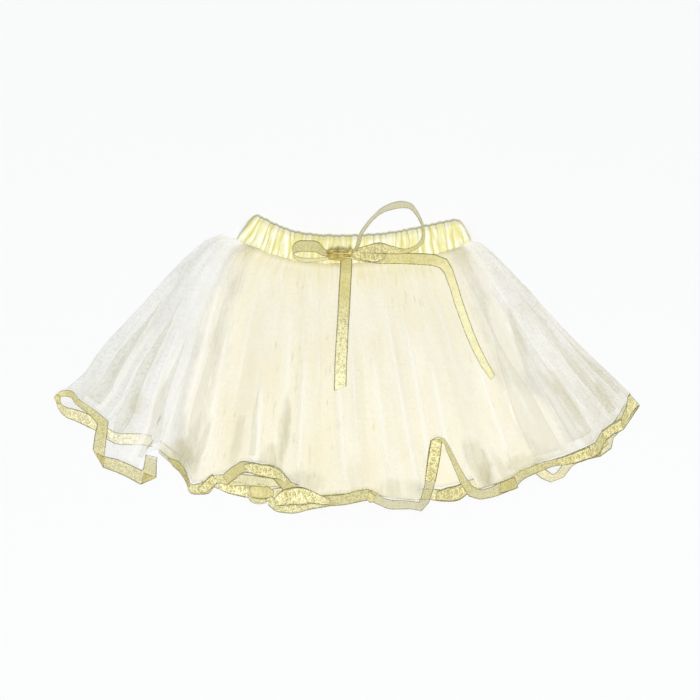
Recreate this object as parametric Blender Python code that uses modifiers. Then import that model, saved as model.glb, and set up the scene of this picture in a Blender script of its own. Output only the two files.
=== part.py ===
"""A child's tutu, laid out flat.

The skirt is a fan of cloth walls that lie on each other: a sheer back, four gathered net
layers and a sheer front. Their top edges are gathered into a ruched satin waistband, each
sheer layer has a ribbon sewn round its hem, and a ribbon bow sits at the front of the waist.

Every plan point below is in millimetres on a laying-out grid, with x to the right and y
from the waist towards the hem. Heights are millimetres above the surface it lies on.
"""

from collections import namedtuple
from functools import lru_cache
from math import hypot

import bpy
import numpy as np

MM = 0.001
PLAN_CENTRE = (347.2, 357.1)  # the middle of the laid-out tutu on the grid

SHEER_WALL = 1.0
NET_WALL = 1.2
RIBBON_WALL = 1.0
CLEARANCE = 0.35  # between cloths that touch
SEAM_GAP = 0.4  # between a panel's top edge and the waistband
HEM_GAP = 0.7  # between a sheer's edge and the stitched edge of its ribbon
RIBBON_LIFT = 1.1  # from a panel's face to the middle of a ribbon that lies on it

NET_LAYERS = ("net_back_outer", "net_back_inner", "net_front_inner", "net_front_outer")
NET_LEFT_LINE = 5  # the fold lines where the net layers begin and end
NET_RIGHT_LINE = 33
NET_REACH = 0.955  # how far down a fold line the net goes
NET_HEM_GAP = 2.0  # from the net's edge to the ribbon beside it
NET_SHOWS_FROM, NET_SHOWS_TO = 23.2, 26.9  # where the net shows below the raised front
EDGE_ROOM = 0.7  # between a free ribbon edge and what it hangs over
EDGE_SLACK = 0.8  # a hem may stray this far from the straight line between two folds
EDGE_SPAN = 0.2  # a stitched edge clears the folds this far to either side, in table steps
LINE_APART = 0.12  # fold lines no closer than this, in steps of the table
FOLD_START = 0.22  # the share of its hem height that a fold has at the waist
FOLD_FULL_AT = 0.6  # the share of its length at which a fold is at its full height
PUFF = 14.0  # how much higher the middle of the skirt stands than its flat layers
HEM_PUFF = 4.0
PUFF_FULL_AT = 0.5
PUFF_FALLS_FROM = 0.55
SIDE_FULLNESS = 0.12
FULL_FROM_LINE = 7  # lines in from the net's edge where the skirt is at its fullest
BACK_FOLD_START = 3.0  # folds lower than this don't lift the back off the surface
BACK_FOLD_SHARE = 0.7
NET_SIDE_MARGIN = 0.5  # lines beyond the net where a ribbon still keeps clear of it
HEM_NEAR = 2 * HEM_GAP  # a hem this close to a place passes through it
HEM_STARTS = 0.5  # a hem crosses a fold line only in its lower half
PARALLEL = 1e-9
BISECTIONS = 40

BAND_EDGE = 1.7  # one wall of the waistband at its edges and over the elastic
BAND_MIDDLE = 3.0
BAND_PLACES = (0.0, 0.22, 0.78, 1.0)  # from its top edge to the seam
RUCHES = 25
RUCHE_DEPTH = 0.8

# The waistband, from the left end to the right: its top edge and its seam with the skirt.
BandSection = namedtuple("BandSection", "share top_x top_y seam_x seam_y")
WAISTBAND = [
    BandSection(0.00, 255.0, 214.0, 237.0, 240.0),
    BandSection(0.12, 273.0, 223.5, 264.0, 252.0),
    BandSection(0.24, 293.0, 231.5, 290.0, 260.5),
    BandSection(0.38, 320.0, 235.5, 318.0, 264.0),
    BandSection(0.50, 345.0, 236.0, 345.0, 264.5),
    BandSection(0.68, 388.0, 233.5, 390.0, 261.5),
    BandSection(0.84, 425.0, 226.5, 430.0, 256.5),
    BandSection(0.94, 448.0, 221.5, 456.0, 248.5),
    BandSection(1.00, 460.0, 219.5, 471.0, 240.5),
]

# The folds that fan out from the waist: where each starts along the seam, where it meets
# the fullest line of the hem, and how far the cloth stands up there.
FoldLine = namedtuple("FoldLine", "waist_share hem_x hem_y lift")
FOLD_LINES = [
    FoldLine(0.000, 54.5, 399.0, 0.0),
    FoldLine(0.006, 75.0, 411.0, 5.0),
    FoldLine(0.012, 97.0, 430.0, 7.0),
    FoldLine(0.018, 106.0, 453.0, 3.0),
    FoldLine(0.024, 130.0, 464.0, 0.0),
    FoldLine(0.035, 155.0, 474.0, 1.5),
    FoldLine(0.060, 172.0, 480.0, 5.0),
    FoldLine(0.085, 188.0, 484.0, 6.0),
    FoldLine(0.115, 204.0, 486.0, 1.0),
    FoldLine(0.150, 221.0, 488.0, 0.0),
    FoldLine(0.185, 238.0, 489.0, 5.0),
    FoldLine(0.220, 254.0, 491.0, 7.0),
    FoldLine(0.255, 269.0, 492.0, 2.0),
    FoldLine(0.290, 284.0, 494.0, 0.0),
    FoldLine(0.325, 298.0, 495.0, 3.5),
    FoldLine(0.360, 311.0, 496.0, 5.0),
    FoldLine(0.395, 324.0, 497.0, 0.5),
    FoldLine(0.430, 336.0, 498.0, 0.0),
    FoldLine(0.465, 349.0, 498.0, 4.0),
    FoldLine(0.500, 362.0, 498.0, 6.0),
    FoldLine(0.535, 375.0, 499.0, 1.0),
    FoldLine(0.570, 388.0, 500.0, 0.0),
    FoldLine(0.605, 402.0, 501.0, 4.5),
    FoldLine(0.640, 416.0, 501.0, 5.5),
    FoldLine(0.675, 430.0, 500.0, 1.0),
    FoldLine(0.710, 445.0, 497.0, 0.0),
    FoldLine(0.745, 461.0, 493.0, 4.0),
    FoldLine(0.780, 478.0, 489.0, 6.0),
    FoldLine(0.815, 495.0, 484.0, 1.0),
    FoldLine(0.850, 512.0, 478.0, 0.0),
    FoldLine(0.880, 530.0, 471.0, 4.0),
    FoldLine(0.910, 548.0, 463.0, 5.0),
    FoldLine(0.940, 567.0, 455.0, 1.0),
    FoldLine(0.965, 588.0, 446.0, 0.0),
    FoldLine(0.975, 604.0, 434.0, 4.0),
    FoldLine(0.985, 617.0, 422.0, 6.0),
    FoldLine(0.993, 626.0, 408.0, 3.0),
    FoldLine(1.000, 631.0, 394.0, 0.0),
]
LAST_LINE = len(FOLD_LINES) - 1

# How far the skirt's sides bow out beyond straight fold lines, in millimetres.
SidePuff = namedtuple("SidePuff", "share left right")
SIDE_PUFF = [
    SidePuff(0.00, 0.0, 0.0),
    SidePuff(0.03, 15.0, 5.0),
    SidePuff(0.10, 21.0, 6.5),
    SidePuff(0.22, 21.0, 6.0),
    SidePuff(0.34, 18.5, 5.0),
    SidePuff(0.45, 14.5, 2.5),
    SidePuff(0.56, 12.0, 1.0),
    SidePuff(0.68, 9.0, 0.0),
    SidePuff(0.76, 5.0, 0.0),
    SidePuff(0.83, 0.0, 0.0),
    SidePuff(1.00, 0.0, 0.0),
]
BOWED_LINES = 14.0  # the bow fades over this many fold lines, in from each side
LOCATE_ROUNDS = 4

# Sections from the waist seam to the hem, as shares of a fold line's length.
SHEER_SECTIONS = (0.0, 0.03, 0.10, 0.22, 0.42, 0.66, 0.86, 1.0)
NET_SECTIONS = (0.0, 0.05, 0.22, 0.48, 0.72, 1.0)

# The hem ribbon, row by row from left to right: the edge that is sewn to the skirt and the
# edge that hangs free, with the free edge's height.
HemRow = namedtuple("HemRow", "sewn_x sewn_y free_x free_y free_z")
FRONT_HEM = {
    "hem_front_left_end": [
        HemRow(57.0, 395.0, 54.6, 398.6, 2.0),
        HemRow(60.0, 391.5, 58.5, 397.5, 1.2),
        HemRow(66.5, 390.0, 64.5, 396.5, 1.2),
        HemRow(73.0, 391.5, 70.5, 397.5, 1.2),
        HemRow(79.0, 398.5, 75.0, 403.0, 1.4),
        HemRow(88.0, 405.0, 82.5, 409.5, 3.4),
        HemRow(97.0, 411.0, 89.5, 414.5, 4.0),
    ],
    "hem_front_box_fold": [
        HemRow(97.8, 411.6, 90.2, 415.2, 4.2),
        HemRow(109.0, 421.0, 97.5, 424.0, 5.0),
        HemRow(107.5, 436.0, 95.0, 435.0, 5.0),
        HemRow(105.2, 453.0, 93.0, 449.0, 3.0),
        HemRow(105.6, 456.0, 103.3, 467.5, 2.2),
        HemRow(118.0, 459.0, 115.5, 472.0, 2.2),
        HemRow(130.0, 464.0, 127.0, 477.0, 2.2),
        HemRow(142.0, 469.8, 140.5, 484.5, 2.2),
        HemRow(143.6, 468.0, 156.5, 477.5, 2.4),
        HemRow(145.0, 461.0, 157.0, 463.0, 4.0),
        HemRow(146.0, 454.0, 157.6, 457.0, 5.0),
    ],
    "hem_front_rise": [
        HemRow(158.8, 449.0, 159.0, 453.0, 5.2),
        HemRow(170.0, 457.0, 168.0, 460.5, 4.2),
        HemRow(183.0, 466.0, 178.0, 470.0, 4.0),
        HemRow(189.0, 477.0, 186.0, 482.0, 3.4),
        HemRow(192.0, 483.5, 190.5, 493.0, 2.4),
        HemRow(199.0, 483.0, 199.5, 494.5, 2.4),
        HemRow(205.0, 480.5, 208.5, 493.5, 3.4),
        HemRow(210.5, 475.5, 217.5, 483.5, 5.4),
    ],
    "hem_front_arch": [
        HemRow(223.5, 474.0, 227.5, 485.0, 6.4),
        HemRow(231.0, 467.5, 235.0, 479.0, 6.8),
        HemRow(236.0, 464.2, 239.0, 476.0, 7.0),
        HemRow(241.0, 461.2, 243.0, 473.0, 7.2),
        HemRow(251.0, 461.4, 252.0, 473.4, 7.6),
        HemRow(261.4, 463.5, 260.5, 475.5, 7.6),
        HemRow(276.5, 466.0, 271.0, 477.5, 7.2),
        HemRow(285.0, 473.5, 278.0, 484.0, 7.0),
        HemRow(291.5, 481.0, 284.5, 491.5, 7.0),
        HemRow(299.0, 484.6, 293.6, 496.2, 7.0),
    ],
    "hem_front_centre": [
        HemRow(270.0, 494.5, 268.0, 505.0, 2.4),
        HemRow(277.0, 499.0, 275.5, 511.0, 2.0),
        HemRow(286.0, 501.0, 285.5, 513.0, 2.0),
        HemRow(296.0, 501.5, 296.5, 513.0, 2.0),
        HemRow(306.0, 499.0, 308.0, 510.0, 2.4),
        HemRow(317.0, 496.5, 319.5, 508.0, 3.0),
        HemRow(329.0, 495.0, 331.0, 506.0, 3.0),
        HemRow(345.0, 493.5, 347.0, 504.5, 3.0),
        HemRow(358.0, 490.0, 361.0, 501.5, 3.4),
        HemRow(368.0, 489.0, 370.0, 500.5, 3.4),
        HemRow(375.5, 492.0, 373.5, 502.5, 3.0),
        HemRow(382.5, 497.0, 380.0, 505.5, 2.6),
        HemRow(391.0, 499.3, 388.5, 508.8, 2.2),
        HemRow(400.0, 499.7, 400.0, 509.2, 2.2),
        HemRow(410.0, 500.5, 413.0, 509.2, 2.2),
    ],
    "hem_front_tall_fold": [
        HemRow(418.5, 501.5, 421.0, 511.0, 2.4),
        HemRow(420.5, 498.0, 428.8, 503.0, 3.0),
        HemRow(424.3, 485.0, 433.8, 487.0, 6.0),
        HemRow(426.2, 466.0, 437.5, 469.5, 9.0),
        HemRow(428.2, 450.0, 440.3, 453.5, 11.0),
        HemRow(430.3, 440.0, 441.7, 443.0, 12.5),
        HemRow(437.0, 436.5, 442.8, 442.6, 12.5),
        HemRow(444.0, 438.5, 443.9, 443.6, 12.0),
        HemRow(449.5, 447.0, 446.0, 450.5, 10.0),
        HemRow(455.0, 458.0, 450.8, 461.0, 8.0),
        HemRow(460.5, 468.5, 455.5, 472.0, 6.0),
        HemRow(466.0, 478.0, 459.5, 482.0, 4.4),
    ],
    "hem_front_right": [
        HemRow(472.0, 485.5, 468.5, 496.0, 3.0),
        HemRow(480.0, 489.0, 479.0, 499.0, 2.4),
        HemRow(489.0, 487.0, 491.0, 497.5, 2.4),
        HemRow(500.0, 482.0, 503.0, 493.5, 2.4),
        HemRow(509.0, 478.5, 514.5, 488.5, 3.0),
        HemRow(518.0, 471.5, 522.0, 480.5, 4.0),
        HemRow(529.0, 467.0, 532.0, 475.0, 4.4),
        HemRow(540.0, 462.5, 543.0, 470.0, 4.4),
        HemRow(549.0, 460.0, 551.0, 467.0, 4.4),
        HemRow(560.0, 457.0, 561.5, 465.0, 4.4),
        HemRow(575.0, 451.0, 577.0, 463.0, 4.0),
        HemRow(588.0, 445.5, 591.5, 458.0, 3.4),
    ],
    "hem_front_right_end": [
        HemRow(594.5, 442.0, 598.0, 455.5, 3.4),
        HemRow(601.5, 430.0, 606.0, 440.5, 4.0),
        HemRow(612.0, 422.5, 614.5, 434.0, 4.4),
        HemRow(621.0, 417.5, 623.0, 430.0, 4.4),
        HemRow(625.2, 406.5, 631.5, 418.0, 4.0),
        HemRow(629.0, 393.0, 639.8, 405.5, 3.4),
    ],
}
BACK_HEM = {
    "hem_back_left_end": [
        HemRow(60.0, 400.2, 56.0, 401.5, 1.2),
        HemRow(62.0, 404.0, 58.5, 409.0, 0.9),
        HemRow(67.0, 407.0, 65.0, 416.5, 0.9),
        HemRow(77.0, 409.5, 76.0, 421.5, 0.9),
        HemRow(88.0, 413.5, 86.5, 426.5, 0.9),
        HemRow(99.0, 420.0, 97.5, 432.0, 0.9),
        HemRow(108.0, 428.0, 107.5, 440.0, 0.9),
        HemRow(118.0, 432.5, 118.0, 444.5, 0.9),
        HemRow(130.0, 433.0, 130.0, 445.0, 0.9),
        HemRow(142.0, 433.5, 142.0, 445.5, 0.9),
        HemRow(152.0, 435.5, 152.5, 447.0, 0.9),
    ],
    "hem_back_left": [
        HemRow(160.0, 440.0, 160.5, 451.5, 0.9),
        HemRow(172.0, 449.0, 170.5, 460.5, 0.9),
        HemRow(184.0, 458.0, 182.0, 469.5, 0.9),
        HemRow(196.0, 466.0, 194.0, 477.5, 0.9),
        HemRow(210.0, 473.0, 209.0, 485.0, 0.9),
        HemRow(222.0, 478.5, 220.5, 490.0, 0.9),
        HemRow(233.0, 482.0, 232.0, 493.5, 0.9),
        HemRow(246.5, 484.5, 246.5, 496.5, 0.9),
    ],
    "hem_back_centre": [
        HemRow(252.0, 490.5, 250.5, 501.5, 0.9),
        HemRow(262.0, 491.5, 261.5, 503.2, 0.9),
        HemRow(273.0, 488.5, 272.0, 500.0, 0.9),
        HemRow(300.0, 486.0, 300.0, 497.5, 0.9),
        HemRow(330.0, 484.0, 330.0, 495.5, 0.9),
        HemRow(360.0, 482.0, 361.0, 494.0, 0.9),
        HemRow(390.0, 486.0, 390.0, 497.5, 0.9),
        HemRow(412.0, 488.5, 412.0, 500.0, 0.9),
        HemRow(432.0, 488.5, 431.0, 500.0, 0.9),
        HemRow(441.5, 489.5, 441.0, 501.5, 0.9),
        HemRow(455.5, 486.5, 456.5, 500.0, 0.9),
        HemRow(465.0, 481.0, 468.0, 492.5, 0.9),
    ],
    "hem_back_right": [
        HemRow(478.0, 477.5, 481.0, 489.0, 0.9),
        HemRow(500.0, 470.0, 504.0, 481.5, 0.9),
        HemRow(521.0, 462.5, 523.5, 474.0, 0.9),
        HemRow(541.0, 464.0, 534.5, 473.0, 0.9),
        HemRow(547.5, 470.5, 541.0, 478.5, 0.9),
        HemRow(553.0, 474.5, 550.5, 482.5, 0.9),
        HemRow(556.5, 472.0, 563.5, 477.5, 0.9),
        HemRow(561.0, 466.0, 572.0, 466.5, 0.9),
        HemRow(573.0, 452.5, 580.0, 461.5, 0.9),
    ],
    "hem_back_right_end": [
        HemRow(592.0, 444.0, 600.8, 456.5, 0.9),
        HemRow(601.5, 437.5, 611.5, 448.5, 0.9),
        HemRow(613.0, 428.5, 621.5, 437.0, 0.9),
        HemRow(621.5, 416.0, 632.0, 422.5, 0.9),
        HemRow(626.5, 403.5, 638.0, 409.5, 0.9),
    ],
}

# The ribbon of the bow: both edges of each row, with their heights.
BowRow = namedtuple("BowRow", "a_x a_y a_z b_x b_y b_z")
BOW_LOOP_LEFT = [
    BowRow(332.0, 252.5, 10.5, 331.0, 256.5, 14.5),
    BowRow(324.0, 248.5, 11.5, 323.0, 256.0, 17.0),
    BowRow(317.5, 242.8, 12.5, 316.0, 252.8, 17.5),
    BowRow(308.0, 240.6, 13.0, 307.0, 252.0, 17.0),
    BowRow(299.0, 241.8, 13.0, 299.5, 252.2, 17.5),
    BowRow(293.8, 246.5, 12.0, 296.0, 253.2, 20.0),
    BowRow(292.5, 252.0, 10.6, 294.4, 254.6, 21.0),
    BowRow(294.5, 258.5, 9.8, 296.6, 256.2, 21.0),
    BowRow(300.0, 261.8, 9.6, 302.0, 257.8, 20.6),
    BowRow(310.0, 262.4, 9.8, 311.0, 258.4, 20.4),
    BowRow(322.0, 261.0, 10.4, 321.5, 258.0, 17.6),
    BowRow(332.0, 259.0, 11.0, 331.0, 257.0, 14.0),
]
BOW_LOOP_RIGHT = [
    BowRow(349.0, 253.5, 14.2, 350.5, 254.5, 17.0),
    BowRow(354.6, 248.2, 13.8, 357.5, 249.6, 21.2),
    BowRow(359.2, 234.0, 11.6, 362.8, 235.2, 21.6),
    BowRow(366.0, 223.6, 8.0, 369.0, 225.6, 18.8),
    BowRow(374.0, 214.6, 4.6, 376.6, 217.4, 15.2),
    BowRow(382.5, 207.2, 2.0, 385.0, 212.2, 12.6),
    BowRow(391.5, 203.0, 1.2, 393.4, 209.6, 11.0),
    BowRow(403.5, 201.2, 1.2, 404.0, 208.2, 10.6),
    BowRow(411.0, 203.4, 1.4, 409.6, 209.2, 11.2),
    BowRow(417.0, 210.4, 3.0, 414.6, 214.2, 13.6),
    BowRow(421.4, 219.0, 6.0, 418.8, 220.8, 17.0),
    BowRow(424.0, 227.0, 9.6, 421.4, 228.0, 20.8),
    BowRow(425.0, 235.0, 10.4, 421.8, 235.0, 21.4),
    BowRow(423.6, 242.0, 10.6, 418.4, 240.4, 20.6),
    BowRow(418.0, 248.6, 11.0, 411.4, 244.2, 18.6),
    BowRow(408.0, 252.6, 11.4, 402.4, 245.0, 16.0),
    BowRow(394.0, 254.4, 11.2, 391.0, 245.0, 12.6),
    BowRow(378.0, 253.8, 11.0, 378.0, 243.6, 11.6),
    BowRow(366.0, 253.4, 11.0, 364.0, 246.4, 11.4),
    BowRow(354.5, 252.4, 11.6, 354.0, 249.0, 12.0),
    BowRow(347.0, 253.6, 12.2, 347.0, 251.4, 12.4),
]
BOW_TAIL_RIGHT = [
    BowRow(346.0, 254.8, 11.4, 346.0, 257.6, 11.6),
    BowRow(354.0, 254.0, 11.0, 354.0, 259.8, 11.4),
    BowRow(364.0, 253.6, 9.8, 364.0, 262.0, 10.9),
    BowRow(378.0, 252.6, 9.4, 378.0, 263.8, 10.8),
    BowRow(398.0, 252.6, 9.4, 398.0, 264.0, 11.0),
    BowRow(418.0, 253.2, 9.6, 417.5, 264.8, 11.6),
    BowRow(434.0, 254.2, 9.8, 431.5, 265.8, 12.6),
]

# The tails where they lie on the skirt: both edges, on the folds of the front.
TailRow = namedtuple("TailRow", "a_x a_y b_x b_y")
BOW_TAIL_CENTRE_TOP = [
    BowRow(340.6, 256.0, 9.0, 351.6, 256.0, 9.0),
    BowRow(340.4, 261.0, 9.8, 352.2, 261.0, 9.8),
]
BOW_TAIL_CENTRE = [
    TailRow(340.0, 270.0, 352.0, 270.5),
    TailRow(339.0, 284.0, 351.2, 284.5),
    TailRow(338.2, 300.0, 350.4, 300.5),
    TailRow(337.4, 316.0, 349.6, 316.5),
    TailRow(336.4, 332.0, 348.6, 332.5),
    TailRow(335.4, 348.0, 347.8, 349.0),
    TailRow(334.6, 364.0, 347.0, 365.5),
    TailRow(334.2, 378.0, 346.6, 380.5),
    TailRow(334.0, 388.4, 346.4, 393.4),
]
BOW_TAIL_RIGHT_LOW = [
    TailRow(447.0, 258.0, 439.0, 268.5),
    TailRow(453.0, 268.0, 444.0, 273.5),
    TailRow(458.0, 284.0, 449.0, 288.0),
    TailRow(462.5, 300.0, 453.5, 303.5),
    TailRow(468.0, 316.0, 459.0, 319.5),
    TailRow(473.5, 332.0, 464.5, 336.0),
    TailRow(480.0, 348.0, 471.5, 352.0),
    TailRow(486.5, 362.0, 478.0, 366.0),
    TailRow(494.5, 375.0, 485.5, 380.5),
]
TAIL_BRIDGE = 2.2  # a tail spans from fold to fold this far above the cloth between them

KNOT_CENTRE = (338.5, 255.0, 13.0)
KNOT_SIZE = (27.0, 11.0, 8.4)
KNOT_GAP = 2 * CLEARANCE  # from the knot to the ribbons that go into it

MATERIALS = {
    "satin": ((0.93, 0.86, 0.50), 0.34, 0.0),
    "sheer tulle": ((0.93, 0.92, 0.84), 0.80, 0.0),
    "cream net": ((0.96, 0.91, 0.76), 0.85, 0.0),
    "gold ribbon": ((0.72, 0.62, 0.32), 0.40, 0.35),
}


def remove_everything():
    for thing in list(bpy.data.objects):
        bpy.data.objects.remove(thing, do_unlink=True)


def column(rows, name):
    return [getattr(row, name) for row in rows]


def smooth_at(rows, key, name, place):
    """A value read from a smooth curve through one column of a table."""
    keys = column(rows, key)
    values = column(rows, name)
    slopes = np.gradient(values, keys)
    k = int(np.clip(np.searchsorted(keys, place) - 1, 0, len(keys) - 2))
    step = keys[k + 1] - keys[k]
    t = (place - keys[k]) / step
    start = (1 + 2 * t) * (1 - t) ** 2 * values[k] + t * (1 - t) ** 2 * step * slopes[k]
    end = t * t * (3 - 2 * t) * values[k + 1] + t * t * (t - 1) * step * slopes[k + 1]
    return start + end


def world(x, y, z):
    return ((x - PLAN_CENTRE[0]) * MM, (PLAN_CENTRE[1] - y) * MM, z * MM)


def soft_step(value):
    value = min(max(value, 0.0), 1.0)
    return value * value * (3 - 2 * value)


def line_value(name, line):
    return float(np.interp(line, range(len(FOLD_LINES)), column(FOLD_LINES, name)))


@lru_cache(maxsize=None)
def waist_end(line):
    """Where a fold line leaves the waist seam."""
    share = line_value("waist_share", line)
    x = smooth_at(WAISTBAND, "share", "seam_x", share)
    y = smooth_at(WAISTBAND, "share", "seam_y", share)
    return np.array((x, y + SEAM_GAP))


def hem_end(line):
    return np.array((line_value("hem_x", line), line_value("hem_y", line)))


def bow_out(line, share):
    """How far the cloth at a place lies sideways of its straight fold line."""
    shares = column(SIDE_PUFF, "share")
    left = np.interp(share, shares, column(SIDE_PUFF, "left")) * (1 - soft_step(line / BOWED_LINES))
    right = np.interp(share, shares, column(SIDE_PUFF, "right"))
    right *= 1 - soft_step((LAST_LINE - line) / BOWED_LINES)
    along = hem_end(line) - waist_end(line)
    return np.array((-along[1], along[0])) / hypot(*along) * (left - right)


def plan_point(line, share):
    straight = waist_end(line) * (1 - share) + hem_end(line) * share
    return straight + bow_out(line, share)


def straight_locate(point):
    """The straight fold line through a point, and the share of its length there."""
    low, high = 0.0, float(LAST_LINE)
    for _ in range(BISECTIONS):
        middle = (low + high) / 2
        along = hem_end(middle) - waist_end(middle)
        offset = point - waist_end(middle)
        if along[0] * offset[1] - along[1] * offset[0] > 0:
            high = middle
        else:
            low = middle
    along = hem_end(low) - waist_end(low)
    return low, float(np.dot(point - waist_end(low), along) / np.dot(along, along))


def locate(x, y):
    """The fold line through a plan point, and the share of that line's length at it."""
    point = np.array((x, y))
    line, share = straight_locate(point)
    for _ in range(LOCATE_ROUNDS):
        line, share = straight_locate(point - bow_out(line, share))
    return line, share


def swell(share):
    """How much of its hem height a fold has reached."""
    return FOLD_START + (1 - FOLD_START) * soft_step(share / FOLD_FULL_AT)


def fold_height(line, share):
    return line_value("lift", line) * swell(share)


def fullness(line):
    """0 beside the net's edges, 1 over the middle of the skirt."""
    inside = min(line - NET_LEFT_LINE, NET_RIGHT_LINE - line) / FULL_FROM_LINE
    return SIDE_FULLNESS + (1 - SIDE_FULLNESS) * soft_step(inside)


def puff(line, share):
    rise = soft_step(share / PUFF_FULL_AT)
    fall = soft_step((share - PUFF_FALLS_FROM) / (1 - PUFF_FALLS_FROM))
    return (PUFF * rise - (PUFF - HEM_PUFF) * fall) * fullness(line)


def net_pile(line):
    """The height that the flat net layers take up: none beyond their edges."""
    left = line / NET_LEFT_LINE
    right = (LAST_LINE - line) / (LAST_LINE - NET_RIGHT_LINE)
    share = min(max(min(left, right), 0.0), 1.0)
    return share * len(NET_LAYERS) * (NET_WALL + CLEARANCE)


def back_face(line, share):
    """The underside of the sheer back, flat on the surface between its larger folds."""
    return max(0.0, fold_height(line, share) - BACK_FOLD_START) * BACK_FOLD_SHARE


def net_face(layer, line, share):
    """The underside of a net layer, counted from 0 at the back."""
    above_back = SHEER_WALL + CLEARANCE + fold_height(line, share)
    flat = layer * (NET_WALL + CLEARANCE)
    return above_back + flat + puff(line, share) * (layer + 1) / (len(NET_LAYERS) + 1)


def front_face(line, share):
    """The underside of the sheer front."""
    above_back = SHEER_WALL + CLEARANCE + fold_height(line, share)
    return above_back + net_pile(line) + puff(line, share)


def new_material(name, kind):
    colour, roughness, metallic = MATERIALS[kind]
    material = bpy.data.materials.new(name + "_finish")
    material.use_nodes = True
    shader = material.node_tree.nodes["Principled BSDF"]
    shader.inputs["Base Color"].default_value = (*colour, 1.0)
    shader.inputs["Roughness"].default_value = roughness
    shader.inputs["Metallic"].default_value = metallic
    return material


def add_object(name, mesh, kind, collection):
    mesh.materials.append(new_material(name, kind))
    part = bpy.data.objects.new(name, mesh)
    collection.objects.link(part)
    return part


def grid_faces(rows, across, first):
    """The triangles of a grid of points, wound so that they face up.

    Every grid is cut along the same diagonals, so that walls on each other stay apart.
    """
    faces = []
    for r in range(rows - 1):
        for c in range(across - 1):
            corner = first + r * across + c
            faces.append((corner, corner + 1, corner + across + 1))
            faces.append((corner, corner + across + 1, corner + across))
    return faces


def cloth_wall(name, lower, upper, kind, collection):
    """A closed wall lofted between a lower and an upper grid of points."""
    rows, across = len(lower), len(lower[0])
    points = [world(*point) for grid in (lower, upper) for row in grid for point in row]
    count = rows * across
    faces = [tuple(reversed(face)) for face in grid_faces(rows, across, 0)]
    faces += grid_faces(rows, across, count)
    rim = list(range(across))
    rim += [r * across + across - 1 for r in range(1, rows)]
    rim += [(rows - 1) * across + c for c in range(across - 2, -1, -1)]
    rim += [r * across for r in range(rows - 2, 0, -1)]
    for here, there in zip(rim, rim[1:] + rim[:1]):
        faces.append((here, there, there + count, here + count))
    mesh = bpy.data.meshes.new(name)
    mesh.from_pydata(points, [], faces)
    mesh.update()
    return add_object(name, mesh, kind, collection)


def crossing(start, end, a, b):
    """Where the segment from start to end meets the one from a to b, as a share of it."""
    along, side = end - start, b - a
    turn = along[0] * side[1] - along[1] * side[0]
    if abs(turn) < PARALLEL:
        return None
    offset = a - start
    share = (offset[0] * side[1] - offset[1] * side[0]) / turn
    place = (offset[0] * along[1] - offset[1] * along[0]) / turn
    return share if 0 <= place <= 1 and share > HEM_STARTS else None


def hem_reach(line, runs):
    """How far down a fold line the sewn edge of a hem ribbon lies."""
    sewn = [np.array((row.sewn_x, row.sewn_y)) for rows in runs.values() for row in rows]
    start, end = waist_end(line), hem_end(line)
    shares = [crossing(start, end, a, b) for a, b in zip(sewn, sewn[1:])]
    shares = [share for share in shares if share is not None]
    reach = min(shares) if shares else 1.0
    return reach - HEM_GAP / hypot(*(end - start))


def skirt_layer(name, lines, sections, reach_of, face, wall, kind, collection):
    """One layer of the skirt: a column for each fold line, a row for each section."""
    lower, upper = [], []
    for line in lines:
        reach = reach_of(line)
        shares = [section * reach for section in sections]
        plan = [plan_point(line, share) for share in shares]
        heights = [face(line, share) for share in shares]
        lower.append([(*point, height) for point, height in zip(plan, heights)])
        upper.append([(*point, height + wall) for point, height in zip(plan, heights)])
    cloth_wall(name, lower, upper, kind, collection)


def net_reach(line):
    """How far down a fold line the net goes: short of either hem ribbon."""
    gap = NET_HEM_GAP / hypot(*(hem_end(line) - waist_end(line)))
    reach = min(NET_REACH, hem_reach(line, BACK_HEM) - gap)
    if NET_SHOWS_FROM < line < NET_SHOWS_TO:
        return reach
    return min(reach, hem_reach(line, FRONT_HEM) - gap)


def turns_hem(line, share, runs):
    """True where a hem turns at this place, away from the line between its two folds."""
    length = hypot(*(hem_end(line) - waist_end(line)))
    if abs(hem_reach(line, runs) - share) * length > HEM_NEAR:
        return False
    left, right = int(line), min(int(line) + 1, LAST_LINE)
    if min(line - left, left + 1 - line) < LINE_APART or left == right:
        return False
    a = plan_point(left, hem_reach(left, runs))
    b = plan_point(right, hem_reach(right, runs))
    along = b - a
    offset = plan_point(line, share) - a
    stray = abs(along[0] * offset[1] - along[1] * offset[0]) / hypot(*along)
    return stray > EDGE_SLACK


def sheer_lines(runs):
    """The fold lines, and one more wherever the hem turns between two of them."""
    lines = [float(line) for line in range(len(FOLD_LINES))]
    for row in (row for table in runs.values() for row in table):
        line, share = locate(row.sewn_x, row.sewn_y)
        apart = min(abs(line - other) for other in lines)
        if apart > LINE_APART and turns_hem(line, share, runs):
            lines.append(line)
    return sorted(lines)


def add_skirt(collection):
    skirt_layer("tulle_back", sheer_lines(BACK_HEM), SHEER_SECTIONS,
                lambda line: hem_reach(line, BACK_HEM),
                back_face, SHEER_WALL, "sheer tulle", collection)
    skirt_layer("tulle_front", sheer_lines(FRONT_HEM), SHEER_SECTIONS,
                lambda line: hem_reach(line, FRONT_HEM),
                front_face, SHEER_WALL, "sheer tulle", collection)
    net_lines = range(NET_LEFT_LINE, NET_RIGHT_LINE + 1)
    for layer, name in enumerate(NET_LAYERS):
        skirt_layer(name, net_lines, NET_SECTIONS, net_reach,
                    lambda line, share, k=layer: net_face(k, line, share),
                    NET_WALL, "cream net", collection)


def band_section(share, across):
    """A point on the waistband: across is 0 at its top edge and 1 at the seam."""
    x = (1 - across) * smooth_at(WAISTBAND, "share", "top_x", share)
    x += across * smooth_at(WAISTBAND, "share", "seam_x", share)
    y = (1 - across) * smooth_at(WAISTBAND, "share", "top_y", share)
    y += across * smooth_at(WAISTBAND, "share", "seam_y", share)
    return x, y


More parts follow.
